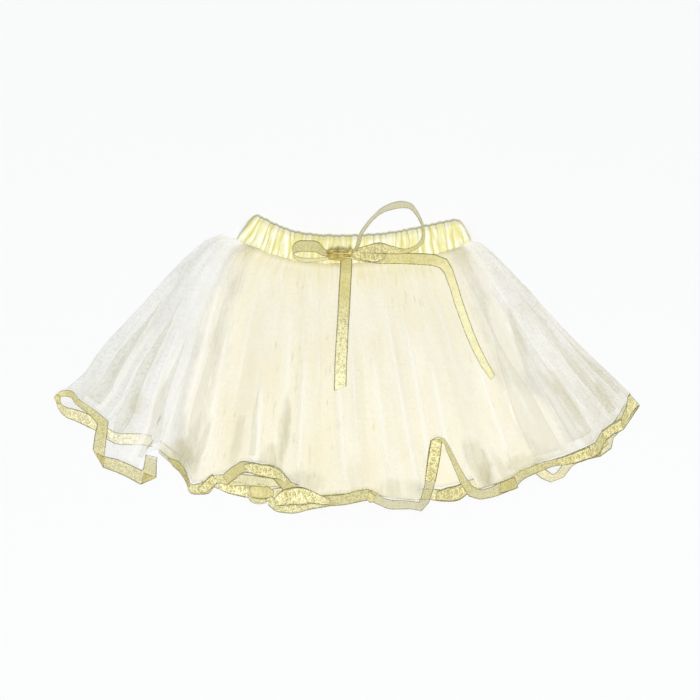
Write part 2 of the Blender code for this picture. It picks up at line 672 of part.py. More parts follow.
def add_waistband(collection):
    """Two ruched walls, one on the other: the back lies flat and the front rests on it."""
    thickness = (BAND_EDGE, BAND_MIDDLE, BAND_MIDDLE, BAND_EDGE)
    surface, back_top, front_low, front_top = [], [], [], []
    for step in range(2 * RUCHES + 1):
        share = step / (2 * RUCHES)
        ruche = RUCHE_DEPTH * (step % 2)
        plan = [band_section(share, across) for across in BAND_PLACES]
        back = [thick + ruche for thick in thickness]
        surface.append([(*point, 0.0) for point in plan])
        back_top.append([(*point, z) for point, z in zip(plan, back)])
        front_low.append([(*point, z + CLEARANCE) for point, z in zip(plan, back)])
        front = [z + CLEARANCE + thick for z, thick in zip(back, thickness)]
        front_top.append([(*point, z) for point, z in zip(plan, front)])
    cloth_wall("waistband_back", surface, back_top, "satin", collection)
    cloth_wall("waistband_front", front_low, front_top, "satin", collection)


def ribbon(name, rows, collection):
    """A flat ribbon through rows of (edge point, edge point), with its thickness."""
    points = [world(*point) for row in rows for point in row]
    mesh = bpy.data.meshes.new(name)
    mesh.from_pydata(points, [], grid_faces(len(rows), 2, 0))
    mesh.update()
    part = add_object(name, mesh, "gold ribbon", collection)
    wall = part.modifiers.new("thickness", "SOLIDIFY")
    wall.thickness = RIBBON_WALL * MM
    wall.offset = 0.0
    return part


def on_front(x, y):
    """The height of the skirt's front at a plan point."""
    line, share = locate(x, y)
    return front_face(line, share) + SHEER_WALL


def above_net(x, y):
    """The height at which a ribbon clears the net below a plan point, or the surface."""
    line, share = locate(x, y)
    gap = NET_HEM_GAP / hypot(*(hem_end(line) - waist_end(line)))
    on_net = NET_LEFT_LINE - NET_SIDE_MARGIN < line < NET_RIGHT_LINE + NET_SIDE_MARGIN
    if not on_net or share > net_reach(line) + gap:
        return 0.0
    return net_face(len(NET_LAYERS) - 1, line, share) + NET_WALL + EDGE_ROOM + RIBBON_WALL / 2


def above_back(x, y):
    """The height at which a ribbon clears the back's ribbon and cloth."""
    line, share = locate(x, y)
    cloth = back_face(line, min(share, 1.0)) + SHEER_WALL + RIBBON_LIFT
    return cloth + RIBBON_WALL + EDGE_ROOM


def add_hem(runs, face, lowest, collection):
    """The ribbon along one hem: its sewn edge on the cloth, its free edge clear below."""
    for name, table in runs.items():
        rows = []
        for row in table:
            line, share = locate(row.sewn_x, row.sewn_y)
            beside = (max(line - EDGE_SPAN, 0.0), line, min(line + EDGE_SPAN, LAST_LINE))
            cloth = max(face(place, min(share, 1.0)) for place in beside)
            sewn_z = cloth + SHEER_WALL + RIBBON_LIFT
            free_z = max(row.free_z, lowest(row.free_x, row.free_y)) + RIBBON_WALL / 2
            rows.append(((row.sewn_x, row.sewn_y, sewn_z), (row.free_x, row.free_y, free_z)))
        ribbon(name, rows, collection)


def edge_pairs(table):
    return [((r.a_x, r.a_y, r.a_z), (r.b_x, r.b_y, r.b_z)) for r in table]


def tail_pairs(table):
    """Rows of a tail on the skirt: level across, and spanning the hollows between folds."""
    pairs = []
    for r in table:
        ground = max(on_front(r.a_x, r.a_y), on_front(r.b_x, r.b_y),
                     on_front((r.a_x + r.b_x) / 2, (r.a_y + r.b_y) / 2))
        height = ground + TAIL_BRIDGE
        pairs.append(((r.a_x, r.a_y, height), (r.b_x, r.b_y, height)))
    return pairs


def add_knot(name, size, collection):
    """A rounded lump from a coarse cage: the ribbon wound round the bow's middle."""
    bpy.ops.mesh.primitive_cube_add(size=1.0)
    knot = bpy.context.object
    knot.name = name
    for owner in list(knot.users_collection):
        owner.objects.unlink(knot)
    collection.objects.link(knot)
    centre = world(*KNOT_CENTRE)
    for vertex in knot.data.vertices:
        for axis in range(3):
            vertex.co[axis] *= size[axis] * MM
    knot.location = centre
    round_off = knot.modifiers.new("round", "SUBSURF")
    round_off.levels = 2
    round_off.render_levels = 2
    knot.data.materials.append(new_material(name, "gold ribbon"))
    return knot


def add_bow(collection, cutters):
    add_knot("bow_knot", KNOT_SIZE, collection)
    clear_size = tuple(side + 2 * KNOT_GAP for side in KNOT_SIZE)
    cutter = add_knot("knot_clearance", clear_size, cutters)
    cutter.hide_render = True
    cutter.display_type = "WIRE"
    pieces = {
        "bow_loop_left": edge_pairs(BOW_LOOP_LEFT),
        "bow_loop_right": edge_pairs(BOW_LOOP_RIGHT),
        "bow_tail_centre": edge_pairs(BOW_TAIL_CENTRE_TOP) + tail_pairs(BOW_TAIL_CENTRE),
        "bow_tail_right": edge_pairs(BOW_TAIL_RIGHT) + tail_pairs(BOW_TAIL_RIGHT_LOW),
    }
    for name, rows in pieces.items():
        part = ribbon(name, rows, collection)
        cut = part.modifiers.new("clear_of_knot", "BOOLEAN")
        cut.operation = "DIFFERENCE"
        cut.object = cutter


def main():
    remove_everything()
    scene = bpy.context.scene.collection
    tutu = bpy.data.collections.new("tutu")
    cutters = bpy.data.collections.new("cutters")
    scene.children.link(tutu)
    scene.children.link(cutters)
    add_skirt(tutu)
    add_waistband(tutu)
    add_hem(BACK_HEM, back_face, lambda x, y: 0.0, tutu)
    add_hem(FRONT_HEM, front_face, lambda x, y: max(above_net(x, y), above_back(x, y)), tutu)
    add_bow(tutu, cutters)


main()
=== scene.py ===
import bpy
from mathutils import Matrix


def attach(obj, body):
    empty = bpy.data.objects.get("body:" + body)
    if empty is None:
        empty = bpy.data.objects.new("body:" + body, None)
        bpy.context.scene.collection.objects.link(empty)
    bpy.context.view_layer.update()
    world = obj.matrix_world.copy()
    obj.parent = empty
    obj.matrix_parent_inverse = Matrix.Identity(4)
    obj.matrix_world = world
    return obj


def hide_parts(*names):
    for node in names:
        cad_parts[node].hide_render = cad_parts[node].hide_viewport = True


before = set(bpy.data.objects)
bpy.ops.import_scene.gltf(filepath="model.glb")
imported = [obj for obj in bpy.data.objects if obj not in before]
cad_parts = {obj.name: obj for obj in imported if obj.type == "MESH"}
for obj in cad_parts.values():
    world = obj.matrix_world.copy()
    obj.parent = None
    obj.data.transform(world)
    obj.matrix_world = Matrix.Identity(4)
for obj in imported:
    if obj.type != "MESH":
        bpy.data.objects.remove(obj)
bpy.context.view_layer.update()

from collections import namedtuple
from functools import lru_cache
from math import exp, hypot, pi, sin

import bmesh
import bpy
import numpy as np
from mathutils import Vector, noise

bl_info = {
    "name": "Laid-out Tutu",
    "version": (1, 0, 0),
    "blender": (4, 5, 0),
    "location": "3D View > Sidebar > Tutu",
    "description": "Makes a child's tutu, laid out flat, with its ribbon hem and bow",
    "category": "Add Mesh",
}

# The sizes, tables and shape functions down to the tails repeat the CAD model's, but for the
# bow's loops and the right end of the back's hem, which lie a few millimetres beside them.
MM = 0.001
PLAN_CENTRE = (347.2, 357.1)  # the middle of the laid-out tutu on the grid

SHEER_WALL = 1.0
NET_WALL = 1.2
RIBBON_WALL = 1.0
CLEARANCE = 0.35  # between cloths that touch
SEAM_GAP = 0.4  # between a panel's top edge and the waistband
HEM_GAP = 0.7  # between a sheer's edge and the stitched edge of its ribbon
RIBBON_LIFT = 1.1  # from a panel's face to the middle of a ribbon that lies on it

NET_LAYERS = ("net_back_outer", "net_back_inner", "net_front_inner", "net_front_outer")
NET_LEFT_LINE = 5  # the fold lines where the net layers begin and end
NET_RIGHT_LINE = 33
NET_REACH = 0.955  # how far down a fold line the net goes
NET_HEM_GAP = 2.0  # from the net's edge to the ribbon beside it
NET_SHOWS_FROM, NET_SHOWS_TO = 23.2, 26.9  # where the net shows below the raised front
EDGE_ROOM = 0.7  # between a free ribbon edge and what it hangs over
EDGE_SPAN = 0.2  # a stitched edge clears the folds this far to either side, in table steps
FOLD_START = 0.22  # the share of its hem height that a fold has at the waist
FOLD_FULL_AT = 0.6  # the share of its length at which a fold is at its full height
PUFF = 14.0  # how much higher the middle of the skirt stands than its flat layers
HEM_PUFF = 4.0
PUFF_FULL_AT = 0.5
PUFF_FALLS_FROM = 0.55
SIDE_FULLNESS = 0.12
FULL_FROM_LINE = 7  # lines in from the net's edge where the skirt is at its fullest
BACK_FOLD_START = 3.0  # folds lower than this don't lift the back off the surface
BACK_FOLD_SHARE = 0.7
NET_SIDE_MARGIN = 0.5  # lines beyond the net where a ribbon still keeps clear of it
HEM_STARTS = 0.5  # a hem crosses a fold line only in its lower half
PARALLEL = 1e-9
BISECTIONS = 40

BAND_EDGE = 1.7  # one wall of the waistband at its edges and over the elastic
BAND_MIDDLE = 3.0
RUCHE_DEPTH = 0.8


def rows_of(kind, rows):
    """The rows of a table, each with its columns' names."""
    return [kind(*row) for row in rows]


# The waistband, from the left end to the right: its top edge and its seam with the skirt.
BandSection = namedtuple("BandSection", "share top_x top_y seam_x seam_y")
WAISTBAND = rows_of(BandSection, (
    (0, 255, 214, 237, 240), (0.12, 273, 223.5, 264, 252), (0.24, 293, 231.5, 290, 260.5),
    (0.38, 320, 235.5, 318, 264), (0.5, 345, 236, 345, 264.5), (0.68, 388, 233.5, 390, 261.5),
    (0.84, 425, 226.5, 430, 256.5), (0.94, 448, 221.5, 456, 248.5), (1, 460, 219.5, 471, 240.5),
))

# The folds that fan out from the waist: where each starts along the seam, where it meets
# the fullest line of the hem, and how far the cloth stands up there.
FoldLine = namedtuple("FoldLine", "waist_share hem_x hem_y lift")
FOLD_LINES = rows_of(FoldLine, (
    (0, 54.5, 399, 0), (0.006, 75, 411, 5), (0.012, 97, 430, 7), (0.018, 106, 453, 3),
    (0.024, 130, 464, 0), (0.035, 155, 474, 1.5), (0.06, 172, 480, 5), (0.085, 188, 484, 6),
    (0.115, 204, 486, 1), (0.15, 221, 488, 0), (0.185, 238, 489, 5), (0.22, 254, 491, 7),
    (0.255, 269, 492, 2), (0.29, 284, 494, 0), (0.325, 298, 495, 3.5), (0.36, 311, 496, 5),
    (0.395, 324, 497, 0.5), (0.43, 336, 498, 0), (0.465, 349, 498, 4), (0.5, 362, 498, 6),
    (0.535, 375, 499, 1), (0.57, 388, 500, 0), (0.605, 402, 501, 4.5), (0.64, 416, 501, 5.5),
    (0.675, 430, 500, 1), (0.71, 445, 497, 0), (0.745, 461, 493, 4), (0.78, 478, 489, 6),
    (0.815, 495, 484, 1), (0.85, 512, 478, 0), (0.88, 530, 471, 4), (0.91, 548, 463, 5),
    (0.94, 567, 455, 1), (0.965, 588, 446, 0), (0.975, 604, 434, 4), (0.985, 617, 422, 6),
    (0.993, 626, 408, 3), (1, 631, 394, 0),
))
LAST_LINE = len(FOLD_LINES) - 1
NET_LEFT = NET_LEFT_LINE / LAST_LINE  # the net's sides, as shares of the skirt's width
NET_RIGHT = NET_RIGHT_LINE / LAST_LINE

# How far the skirt's sides bow out beyond straight fold lines, in millimetres.
SidePuff = namedtuple("SidePuff", "share left right")
SIDE_PUFF = rows_of(SidePuff, (
    (0, 0, 0), (0.03, 15, 5), (0.1, 21, 6.5), (0.22, 21, 6), (0.34, 18.5, 5), (0.45, 14.5, 2.5),
    (0.56, 12, 1), (0.68, 9, 0), (0.76, 5, 0), (0.83, 0, 0), (1, 0, 0),
))
BOWED_LINES = 14.0  # the bow fades over this many fold lines, in from each side
LOCATE_ROUNDS = 4

# The hem ribbon, row by row from left to right: the edge that is sewn to the skirt and the
# edge that hangs free, with the free edge's height.
HemRow = namedtuple("HemRow", "sewn_x sewn_y free_x free_y free_z", defaults=(0.9,))
FRONT_HEM = {node: rows_of(HemRow, rows) for node, rows in {
    "hem_front_left_end": (
        (57, 395, 54.6, 398.6, 2), (60, 391.5, 58.5, 397.5, 1.2), (66.5, 390, 64.5, 396.5, 1.2),
        (73, 391.5, 70.5, 397.5, 1.2), (79, 398.5, 75, 403, 1.4), (88, 405, 82.5, 409.5, 3.4),
        (97, 411, 89.5, 414.5, 4)),
    "hem_front_box_fold": (
        (97.8, 411.6, 90.2, 415.2, 4.2), (109, 421, 97.5, 424, 5), (107.5, 436, 95, 435, 5),
        (105.2, 453, 93, 449, 3), (105.6, 456, 103.3, 467.5, 2.2), (118, 459, 115.5, 472, 2.2),
        (130, 464, 127, 477, 2.2), (142, 469.8, 140.5, 484.5, 2.2), (143.6, 468, 156.5, 477.5, 2.4),
        (145, 461, 157, 463, 4), (146, 454, 157.6, 457, 5)),
    "hem_front_rise": (
        (158.8, 449, 159, 453, 5.2), (170, 457, 168, 460.5, 4.2), (183, 466, 178, 470, 4),
        (189, 477, 186, 482, 3.4), (192, 483.5, 190.5, 493, 2.4), (199, 483, 199.5, 494.5, 2.4),
        (205, 480.5, 208.5, 493.5, 3.4), (210.5, 475.5, 217.5, 483.5, 5.4)),
    "hem_front_arch": (
        (223.5, 474, 227.5, 485, 6.4), (231, 467.5, 235, 479, 6.8), (236, 464.2, 239, 476, 7),
        (241, 461.2, 243, 473, 7.2), (251, 461.4, 252, 473.4, 7.6),
        (261.4, 463.5, 260.5, 475.5, 7.6), (276.5, 466, 271, 477.5, 7.2), (285, 473.5, 278, 484, 7),
        (291.5, 481, 284.5, 491.5, 7), (299, 484.6, 293.6, 496.2, 7)),
    "hem_front_centre": (
        (270, 494.5, 268, 505, 2.4), (277, 499, 275.5, 511, 2), (286, 501, 285.5, 513, 2),
        (296, 501.5, 296.5, 513, 2), (306, 499, 308, 510, 2.4), (317, 496.5, 319.5, 508, 3),
        (329, 495, 331, 506, 3), (345, 493.5, 347, 504.5, 3), (358, 490, 361, 501.5, 3.4),
        (368, 489, 370, 500.5, 3.4), (375.5, 492, 373.5, 502.5, 3), (382.5, 497, 380, 505.5, 2.6),
        (391, 499.3, 388.5, 508.8, 2.2), (400, 499.7, 400, 509.2, 2.2),
        (410, 500.5, 413, 509.2, 2.2)),
    "hem_front_tall_fold": (
        (418.5, 501.5, 421, 511, 2.4), (420.5, 498, 428.8, 503, 3), (424.3, 485, 433.8, 487, 6),
        (426.2, 466, 437.5, 469.5, 9), (428.2, 450, 440.3, 453.5, 11),
        (430.3, 440, 441.7, 443, 12.5), (437, 436.5, 442.8, 442.6, 12.5),
        (444, 438.5, 443.9, 443.6, 12), (449.5, 447, 446, 450.5, 10), (455, 458, 450.8, 461, 8),
        (460.5, 468.5, 455.5, 472, 6), (466, 478, 459.5, 482, 4.4)),
    "hem_front_right": (
        (472, 485.5, 468.5, 496, 3), (480, 489, 479, 499, 2.4), (489, 487, 491, 497.5, 2.4),
        (500, 482, 503, 493.5, 2.4), (509, 478.5, 514.5, 488.5, 3), (518, 471.5, 522, 480.5, 4),
        (529, 467, 532, 475, 4.4), (540, 462.5, 543, 470, 4.4), (549, 460, 551, 467, 4.4),
        (560, 457, 561.5, 465, 4.4), (575, 451, 577, 463, 4), (588, 445.5, 591.5, 458, 3.4)),
    "hem_front_right_end": (
        (594.5, 442, 598, 455.5, 3.4), (601.5, 430, 606, 440.5, 4), (612, 422.5, 614.5, 434, 4.4),
        (621, 417.5, 623, 430, 4.4), (625.2, 406.5, 631.5, 418, 4), (629, 393, 639.8, 405.5, 3.4)),
}.items()}
BACK_HEM = {node: rows_of(HemRow, rows) for node, rows in {
    "hem_back_left_end": (
        (60, 400.2, 56, 401.5, 1.2), (62, 404, 58.5, 409), (67, 407, 65, 416.5),
        (77, 409.5, 76, 421.5), (88, 413.5, 86.5, 426.5), (99, 420, 97.5, 432),
        (108, 428, 107.5, 440), (118, 432.5, 118, 444.5), (130, 433, 130, 445),
        (142, 433.5, 142, 445.5), (152, 435.5, 152.5, 447)),
    "hem_back_left": (
        (160, 440, 160.5, 451.5), (172, 449, 170.5, 460.5), (184, 458, 182, 469.5),
        (196, 466, 194, 477.5), (210, 473, 209, 485), (222, 478.5, 220.5, 490),
        (233, 482, 232, 493.5), (246.5, 484.5, 246.5, 496.5)),
    "hem_back_centre": (
        (252, 490.5, 250.5, 501.5), (262, 491.5, 261.5, 503.2), (273, 488.5, 272, 500),
        (300, 486, 300, 497.5), (330, 484, 330, 495.5), (360, 482, 361, 494),
        (390, 486, 390, 497.5), (412, 488.5, 412, 500), (432, 488.5, 431, 500),
        (441.5, 489.5, 441, 501.5), (455.5, 486.5, 456.5, 500), (465, 481, 468, 492.5)),
    "hem_back_right": (
        (478, 477.5, 481, 489), (500, 470, 504, 481.5), (521, 462.5, 523.5, 474),
        (541, 464, 534.5, 473), (547.5, 470.5, 541, 478.5), (553, 474.5, 550.5, 482.5),
        (556.5, 472, 563.5, 477.5), (561, 466, 572, 466.5), (573, 452.5, 580, 461.5)),
    "hem_back_right_end": (
        (592, 444, 600.8, 456.5), (601.5, 437.5, 611.5, 448.5), (606.4, 430.6, 613.6, 438),
        (615.4, 419, 624.2, 427), (624, 404.5, 632.6, 411)),
}.items()}

# The ribbon of the bow: both edges of each row, with their heights.
BowRow = namedtuple("BowRow", "a_x a_y a_z b_x b_y b_z")
BOW_LOOP_LEFT = rows_of(BowRow, (
    (332, 252.5, 10.5, 331, 256.5, 14.5), (324, 248.5, 11.5, 323, 256, 17),
    (318.6, 242, 12.5, 316, 252.8, 17.5), (308, 240.6, 13, 307, 252, 17),
    (298.4, 241.2, 13, 299.5, 252.2, 17.5), (293.2, 245.4, 12, 296, 253.2, 20),
    (292.5, 252, 10.6, 294.4, 254.6, 21), (294.5, 258.5, 9.8, 296.6, 256.2, 21),
    (300, 261.8, 9.6, 302, 257.8, 20.6), (310, 262.4, 9.8, 311, 258.4, 20.4),
    (322, 261, 10.4, 321.5, 258, 17.6), (332, 259, 11, 331, 257, 14),
))
BOW_LOOP_RIGHT = rows_of(BowRow, (
    (349, 253.5, 14.2, 350.5, 254.5, 17), (354.6, 248.2, 13.8, 357.5, 249.6, 21.2),
    (359.2, 234, 11.6, 362.8, 235.2, 21.6), (366, 223.6, 8, 369, 225.6, 18.8),
    (374, 214.6, 4.6, 376.6, 217.4, 15.2), (382.5, 207.2, 2, 385, 212.2, 12.6),
    (391.5, 203, 1.2, 393.4, 209.6, 11), (403.5, 201.2, 1.2, 404, 208.2, 10.6),
    (411, 203.4, 1.4, 409.6, 209.2, 11.2), (417, 210.4, 3, 414.6, 214.2, 13.6),
    (421.4, 219, 6, 418.8, 220.8, 17), (424, 227, 9.6, 421.4, 228, 20.8),
    (425, 235, 10.4, 421.8, 235, 21.4), (423.6, 242, 10.6, 420.2, 240.6, 20.6),
    (417.4, 248.4, 11, 414.6, 246, 18.6), (408, 252.8, 11.4, 405.6, 249, 16),
    (394, 254.4, 11.2, 392.4, 246.2, 12.6), (378, 253.8, 11, 379, 242.6, 11.6),
    (366, 253.4, 11, 364, 246.4, 11.4), (354.5, 252.4, 11.6, 354, 249, 12),
    (347, 253.6, 12.2, 347, 251.4, 12.4),
))
BOW_TAIL_RIGHT = rows_of(BowRow, (
    (346, 254.8, 11.4, 346, 257.6, 11.6), (354, 254, 11, 354, 259.8, 11.4),
    (364, 253.6, 9.8, 364, 262, 10.9), (378, 252.6, 9.4, 378, 263.8, 10.8),
    (398, 252.6, 9.4, 398, 264, 11), (418, 253.2, 9.6, 417.5, 264.8, 11.6),
    (434, 254.2, 9.8, 431.5, 265.8, 12.6),
))

# The tails where they lie on the skirt: both edges, on the folds of the front.
TailRow = namedtuple("TailRow", "a_x a_y b_x b_y")
BOW_TAIL_CENTRE_TOP = rows_of(BowRow, (
    (340.6, 256, 9, 351.6, 256, 9), (340.4, 261, 9.8, 352.2, 261, 9.8),
))
BOW_TAIL_CENTRE = rows_of(TailRow, (
    (340, 270, 352, 270.5), (339, 284, 351.2, 284.5), (338.2, 300, 350.4, 300.5),
    (337.4, 316, 349.6, 316.5), (336.4, 332, 348.6, 332.5), (335.4, 348, 347.8, 349),
    (334.6, 364, 347, 365.5), (334.2, 378, 346.6, 380.5), (334, 388.4, 346.4, 393.4),
))
BOW_TAIL_RIGHT_LOW = rows_of(TailRow, (
    (446.6, 259, 439, 268), (452.2, 268.4, 444, 273.5), (457.4, 284.4, 449.4, 288.2),
    (462.2, 300.2, 454, 303.6), (467.6, 316.2, 459.6, 319.4), (473.4, 332.2, 465.6, 335.6),
    (480.2, 348, 472.6, 351.4), (487.2, 362, 479.8, 365.4), (491.6, 369.4, 484.8, 372.4),
    (494.4, 374.6, 490.8, 380),
))
TAIL_BRIDGE = 2.2  # a tail spans from fold to fold this far above the cloth between them

KNOT_CENTRE = (338.5, 255.0, 13.0)
KNOT_SIZE = (27.0, 11.0, 8.4)
TIE_CENTRE = (350.2, 252.4, 14.6)  # a small tie beside the knot
TIE_SIZE = (5.4, 6.6, 5.0)


def column(rows, name):
    return [getattr(row, name) for row in rows]


def eased(t, step, start, end, start_slope, end_slope):
    """The cubic between two ends with a slope at each, a share t along the step."""
    first = (1 + 2 * t) * (1 - t) ** 2 * start + t * (1 - t) ** 2 * step * start_slope
    last = t * t * (3 - 2 * t) * end + t * t * (t - 1) * step * end_slope
    return first + last


def smooth_at(rows, key, name, place):
    """A value read from a smooth curve through one column of a table."""
    keys, values = column(rows, key), column(rows, name)
    slopes = np.gradient(values, keys)
    k = int(np.clip(np.searchsorted(keys, place) - 1, 0, len(keys) - 2))
    step = keys[k + 1] - keys[k]
    t = (place - keys[k]) / step
    return eased(t, step, values[k], values[k + 1], slopes[k], slopes[k + 1])


def soft_step(value):
    value = min(max(value, 0.0), 1.0)
    return value * value * (3 - 2 * value)


def line_value(name, line):
    return float(np.interp(line, range(len(FOLD_LINES)), column(FOLD_LINES, name)))


@lru_cache(maxsize=None)
def waist_end(line):
    """Where a fold line leaves the waist seam."""
    share = line_value("waist_share", line)
    x = smooth_at(WAISTBAND, "share", "seam_x", share)
    y = smooth_at(WAISTBAND, "share", "seam_y", share)
    return np.array((x, y + SEAM_GAP))


def hem_end(line):
    return np.array((line_value("hem_x", line), line_value("hem_y", line)))


def bow_out(line, share):
    """How far the cloth at a place lies sideways of its straight fold line."""
    shares = column(SIDE_PUFF, "share")
    left = np.interp(share, shares, column(SIDE_PUFF, "left")) * (1 - soft_step(line / BOWED_LINES))
    right = np.interp(share, shares, column(SIDE_PUFF, "right"))
    right *= 1 - soft_step((LAST_LINE - line) / BOWED_LINES)
    along = hem_end(line) - waist_end(line)
    aside = np.array((-along[1], along[0])) / hypot(*along)
    return aside * (left - right)


def plan_point(line, share):
    straight = waist_end(line) * (1 - share) + hem_end(line) * share
    return straight + bow_out(line, share)


def straight_locate(point):
    """The straight fold line through a point, and the share of its length there."""
    low, high = 0.0, float(LAST_LINE)
    for _ in range(BISECTIONS):
        middle = (low + high) / 2
        along = hem_end(middle) - waist_end(middle)
        offset = point - waist_end(middle)
        if along[0] * offset[1] - along[1] * offset[0] > 0:
            high = middle
        else:
            low = middle
    along = hem_end(low) - waist_end(low)
    return low, float(np.dot(point - waist_end(low), along) / np.dot(along, along))


def locate(x, y):
    """The fold line through a plan point, and the share of that line's length at it."""
    point = np.array((x, y))
    line, share = straight_locate(point)
    for _ in range(LOCATE_ROUNDS):
        line, share = straight_locate(point - bow_out(line, share))
    return line, share


def swell(share):
    """How much of its hem height a fold has reached."""
    return FOLD_START + (1 - FOLD_START) * soft_step(share / FOLD_FULL_AT)


def fold_height(line, share):
    return line_value("lift", line) * swell(share)


def fullness(line):
    """0 beside the net's edges, 1 over the middle of the skirt."""
    inside = min(line - NET_LEFT_LINE, NET_RIGHT_LINE - line) / FULL_FROM_LINE
    return SIDE_FULLNESS + (1 - SIDE_FULLNESS) * soft_step(inside)


def puff(line, share):
    rise = soft_step(share / PUFF_FULL_AT)
    fall = soft_step((share - PUFF_FALLS_FROM) / (1 - PUFF_FALLS_FROM))
    return (PUFF * rise - (PUFF - HEM_PUFF) * fall) * fullness(line)


def net_pile(line):
    """The height that the flat net layers take up: none beyond their edges."""
    left = line / NET_LEFT_LINE
    right = (LAST_LINE - line) / (LAST_LINE - NET_RIGHT_LINE)
    share = min(max(min(left, right), 0.0), 1.0)
    return share * len(NET_LAYERS) * (NET_WALL + CLEARANCE)


def back_face(line, share):
    """The underside of the sheer back, flat on the surface between its larger folds."""
    return max(0.0, fold_height(line, share) - BACK_FOLD_START) * BACK_FOLD_SHARE


def net_face(layer, line, share):
    """The underside of a net layer, counted from 0 at the back."""
    above_back = SHEER_WALL + CLEARANCE + fold_height(line, share)
    flat = layer * (NET_WALL + CLEARANCE)
    return above_back + flat + puff(line, share) * (layer + 1) / (len(NET_LAYERS) + 1)


def front_face(line, share):
    """The underside of the sheer front."""
    above_back = SHEER_WALL + CLEARANCE + fold_height(line, share)
    return above_back + net_pile(line) + puff(line, share)


def crossing(start, end, a, b):
    """Where the segment from start to end meets the one from a to b, as a share of it."""
    along, side = end - start, b - a
    turn = along[0] * side[1] - along[1] * side[0]
    if abs(turn) < PARALLEL:
        return None
    offset = a - start
    share = (offset[0] * side[1] - offset[1] * side[0]) / turn
    place = (offset[0] * along[1] - offset[1] * along[0]) / turn
    return share if 0 <= place <= 1 and share > HEM_STARTS else None


def hem_reach(line, runs):
    """How far down a fold line the sewn edge of a hem ribbon lies."""
    sewn = [np.array((row.sewn_x, row.sewn_y)) for rows in runs.values() for row in rows]
    start, end = waist_end(line), hem_end(line)
    shares = [crossing(start, end, a, b) for a, b in zip(sewn, sewn[1:])]
    shares = [share for share in shares if share is not None]
    reach = min(shares) if shares else 1.0
    return reach - HEM_GAP / hypot(*(end - start))


def net_reach(line):
    """How far down a fold line the net goes: short of either hem ribbon."""
    gap = NET_HEM_GAP / hypot(*(hem_end(line) - waist_end(line)))
    reach = min(NET_REACH, hem_reach(line, BACK_HEM) - gap)
    if NET_SHOWS_FROM < line < NET_SHOWS_TO:
        return reach
    return min(reach, hem_reach(line, FRONT_HEM) - gap)


def band_section(share, across):
    """A point on the waistband: across is 0 at its top edge and 1 at the seam."""
    x = (1 - across) * smooth_at(WAISTBAND, "share", "top_x", share)
    x += across * smooth_at(WAISTBAND, "share", "seam_x", share)
    y = (1 - across) * smooth_at(WAISTBAND, "share", "top_y", share)
    y += across * smooth_at(WAISTBAND, "share", "seam_y", share)
    return x, y


def on_front(x, y):
    """The height of the skirt's front at a plan point."""
    line, share = locate(x, y)
    return front_face(line, share) + SHEER_WALL


def above_net(x, y):
    """The height at which a ribbon clears the net below a plan point, or the surface."""
    line, share = locate(x, y)
    gap = NET_HEM_GAP / hypot(*(hem_end(line) - waist_end(line)))
    on_net = NET_LEFT_LINE - NET_SIDE_MARGIN < line < NET_RIGHT_LINE + NET_SIDE_MARGIN
    if not on_net or share > net_reach(line) + gap:
        return 0.0
    return net_face(len(NET_LAYERS) - 1, line, share) + NET_WALL + EDGE_ROOM + RIBBON_WALL / 2


def above_back(x, y):
    """The height at which a ribbon clears the back's ribbon and cloth."""
    line, share = locate(x, y)
    cloth = back_face(line, min(share, 1.0)) + SHEER_WALL + RIBBON_LIFT
    return cloth + RIBBON_WALL + EDGE_ROOM


def above_both(x, y):
    return max(above_net(x, y), above_back(x, y))


def edge_pairs(rows):
    return [(row[:3], row[3:]) for row in rows]


def tail_pairs(rows):
    """Rows of a tail on the skirt: level across, and spanning the hollows between folds."""
    pairs = []
    for r in rows:
        ground = max(on_front(r.a_x, r.a_y), on_front(r.b_x, r.b_y),
                     on_front((r.a_x + r.b_x) / 2, (r.a_y + r.b_y) / 2))
        height = ground + TAIL_BRIDGE
        pairs.append(((r.a_x, r.a_y, height), (r.b_x, r.b_y, height)))
    return pairs


# The finish: the thin shells, their small folds and crumples, in millimetres and fold lines.
SHEER_SHELL = 0.26
NET_SHELL = 0.4
STEPS_PER_LINE = 8  # columns of a skirt shell between two fold lines
FRONT_STEPS = 12  # and of the sheer front, whose creases are the finest
SHEER_ROWS = 54
NET_ROWS = 40
RIBBON_STEP = 1.4  # between the cross rows of a ribbon
RIBBON_ACROSS = 6
CRUMPLE_SIZE = 7.0
FINE_CRUMPLE_SIZE = 2.4
FINE_CRUMPLE_SHARE = 0.35
GATHERS_PER_LINE = 1.3
FRONT_GATHER_DEPTH = 0.9
BACK_GATHER_DEPTH = 0.15
GATHER_REACH = 0.16  # how far down the skirt the gathers of the waist fade, as a share
BACK_CREASE_MOST = 0.5  # the back's creases stand up no higher than this
BACK_LIFT = 0.1  # from the floor to the sheer back
PLEATS_PER_LINE = 0.8
FOLD_CRUMPLE = 0.2
FOLD_REST_REACH = 1.2  # a fold rests on what lies within this of the nearest point
NORMAL_ROUNDS = 2  # how often a ribbon's normals are smoothed
SHORTEST_NORMAL = 1e-6
CREASE_REACH = 3  # a crease ends this many of its widths to the side
CREASE_FADE = 0.3  # and rises and fades over this share of its length
PLEAT_COLUMNS = 7
NET_SHORT_OF_HEM = 0.004  # the front net ends this far above the hem, as a share
SEAM_PRESS = 0.6  # the share of its height that the skirt keeps where it is sewn to the band
SEAM_PRESS_REACH = 0.06
SEAM_TUCK = 0.006  # how far the cloth reaches up over the seam, as a share
BAND_ROWS = 420
BAND_ACROSS = 26
STITCH_INSET = 0.1  # from a ribbon's sewn edge to its stitches, as a share of its width

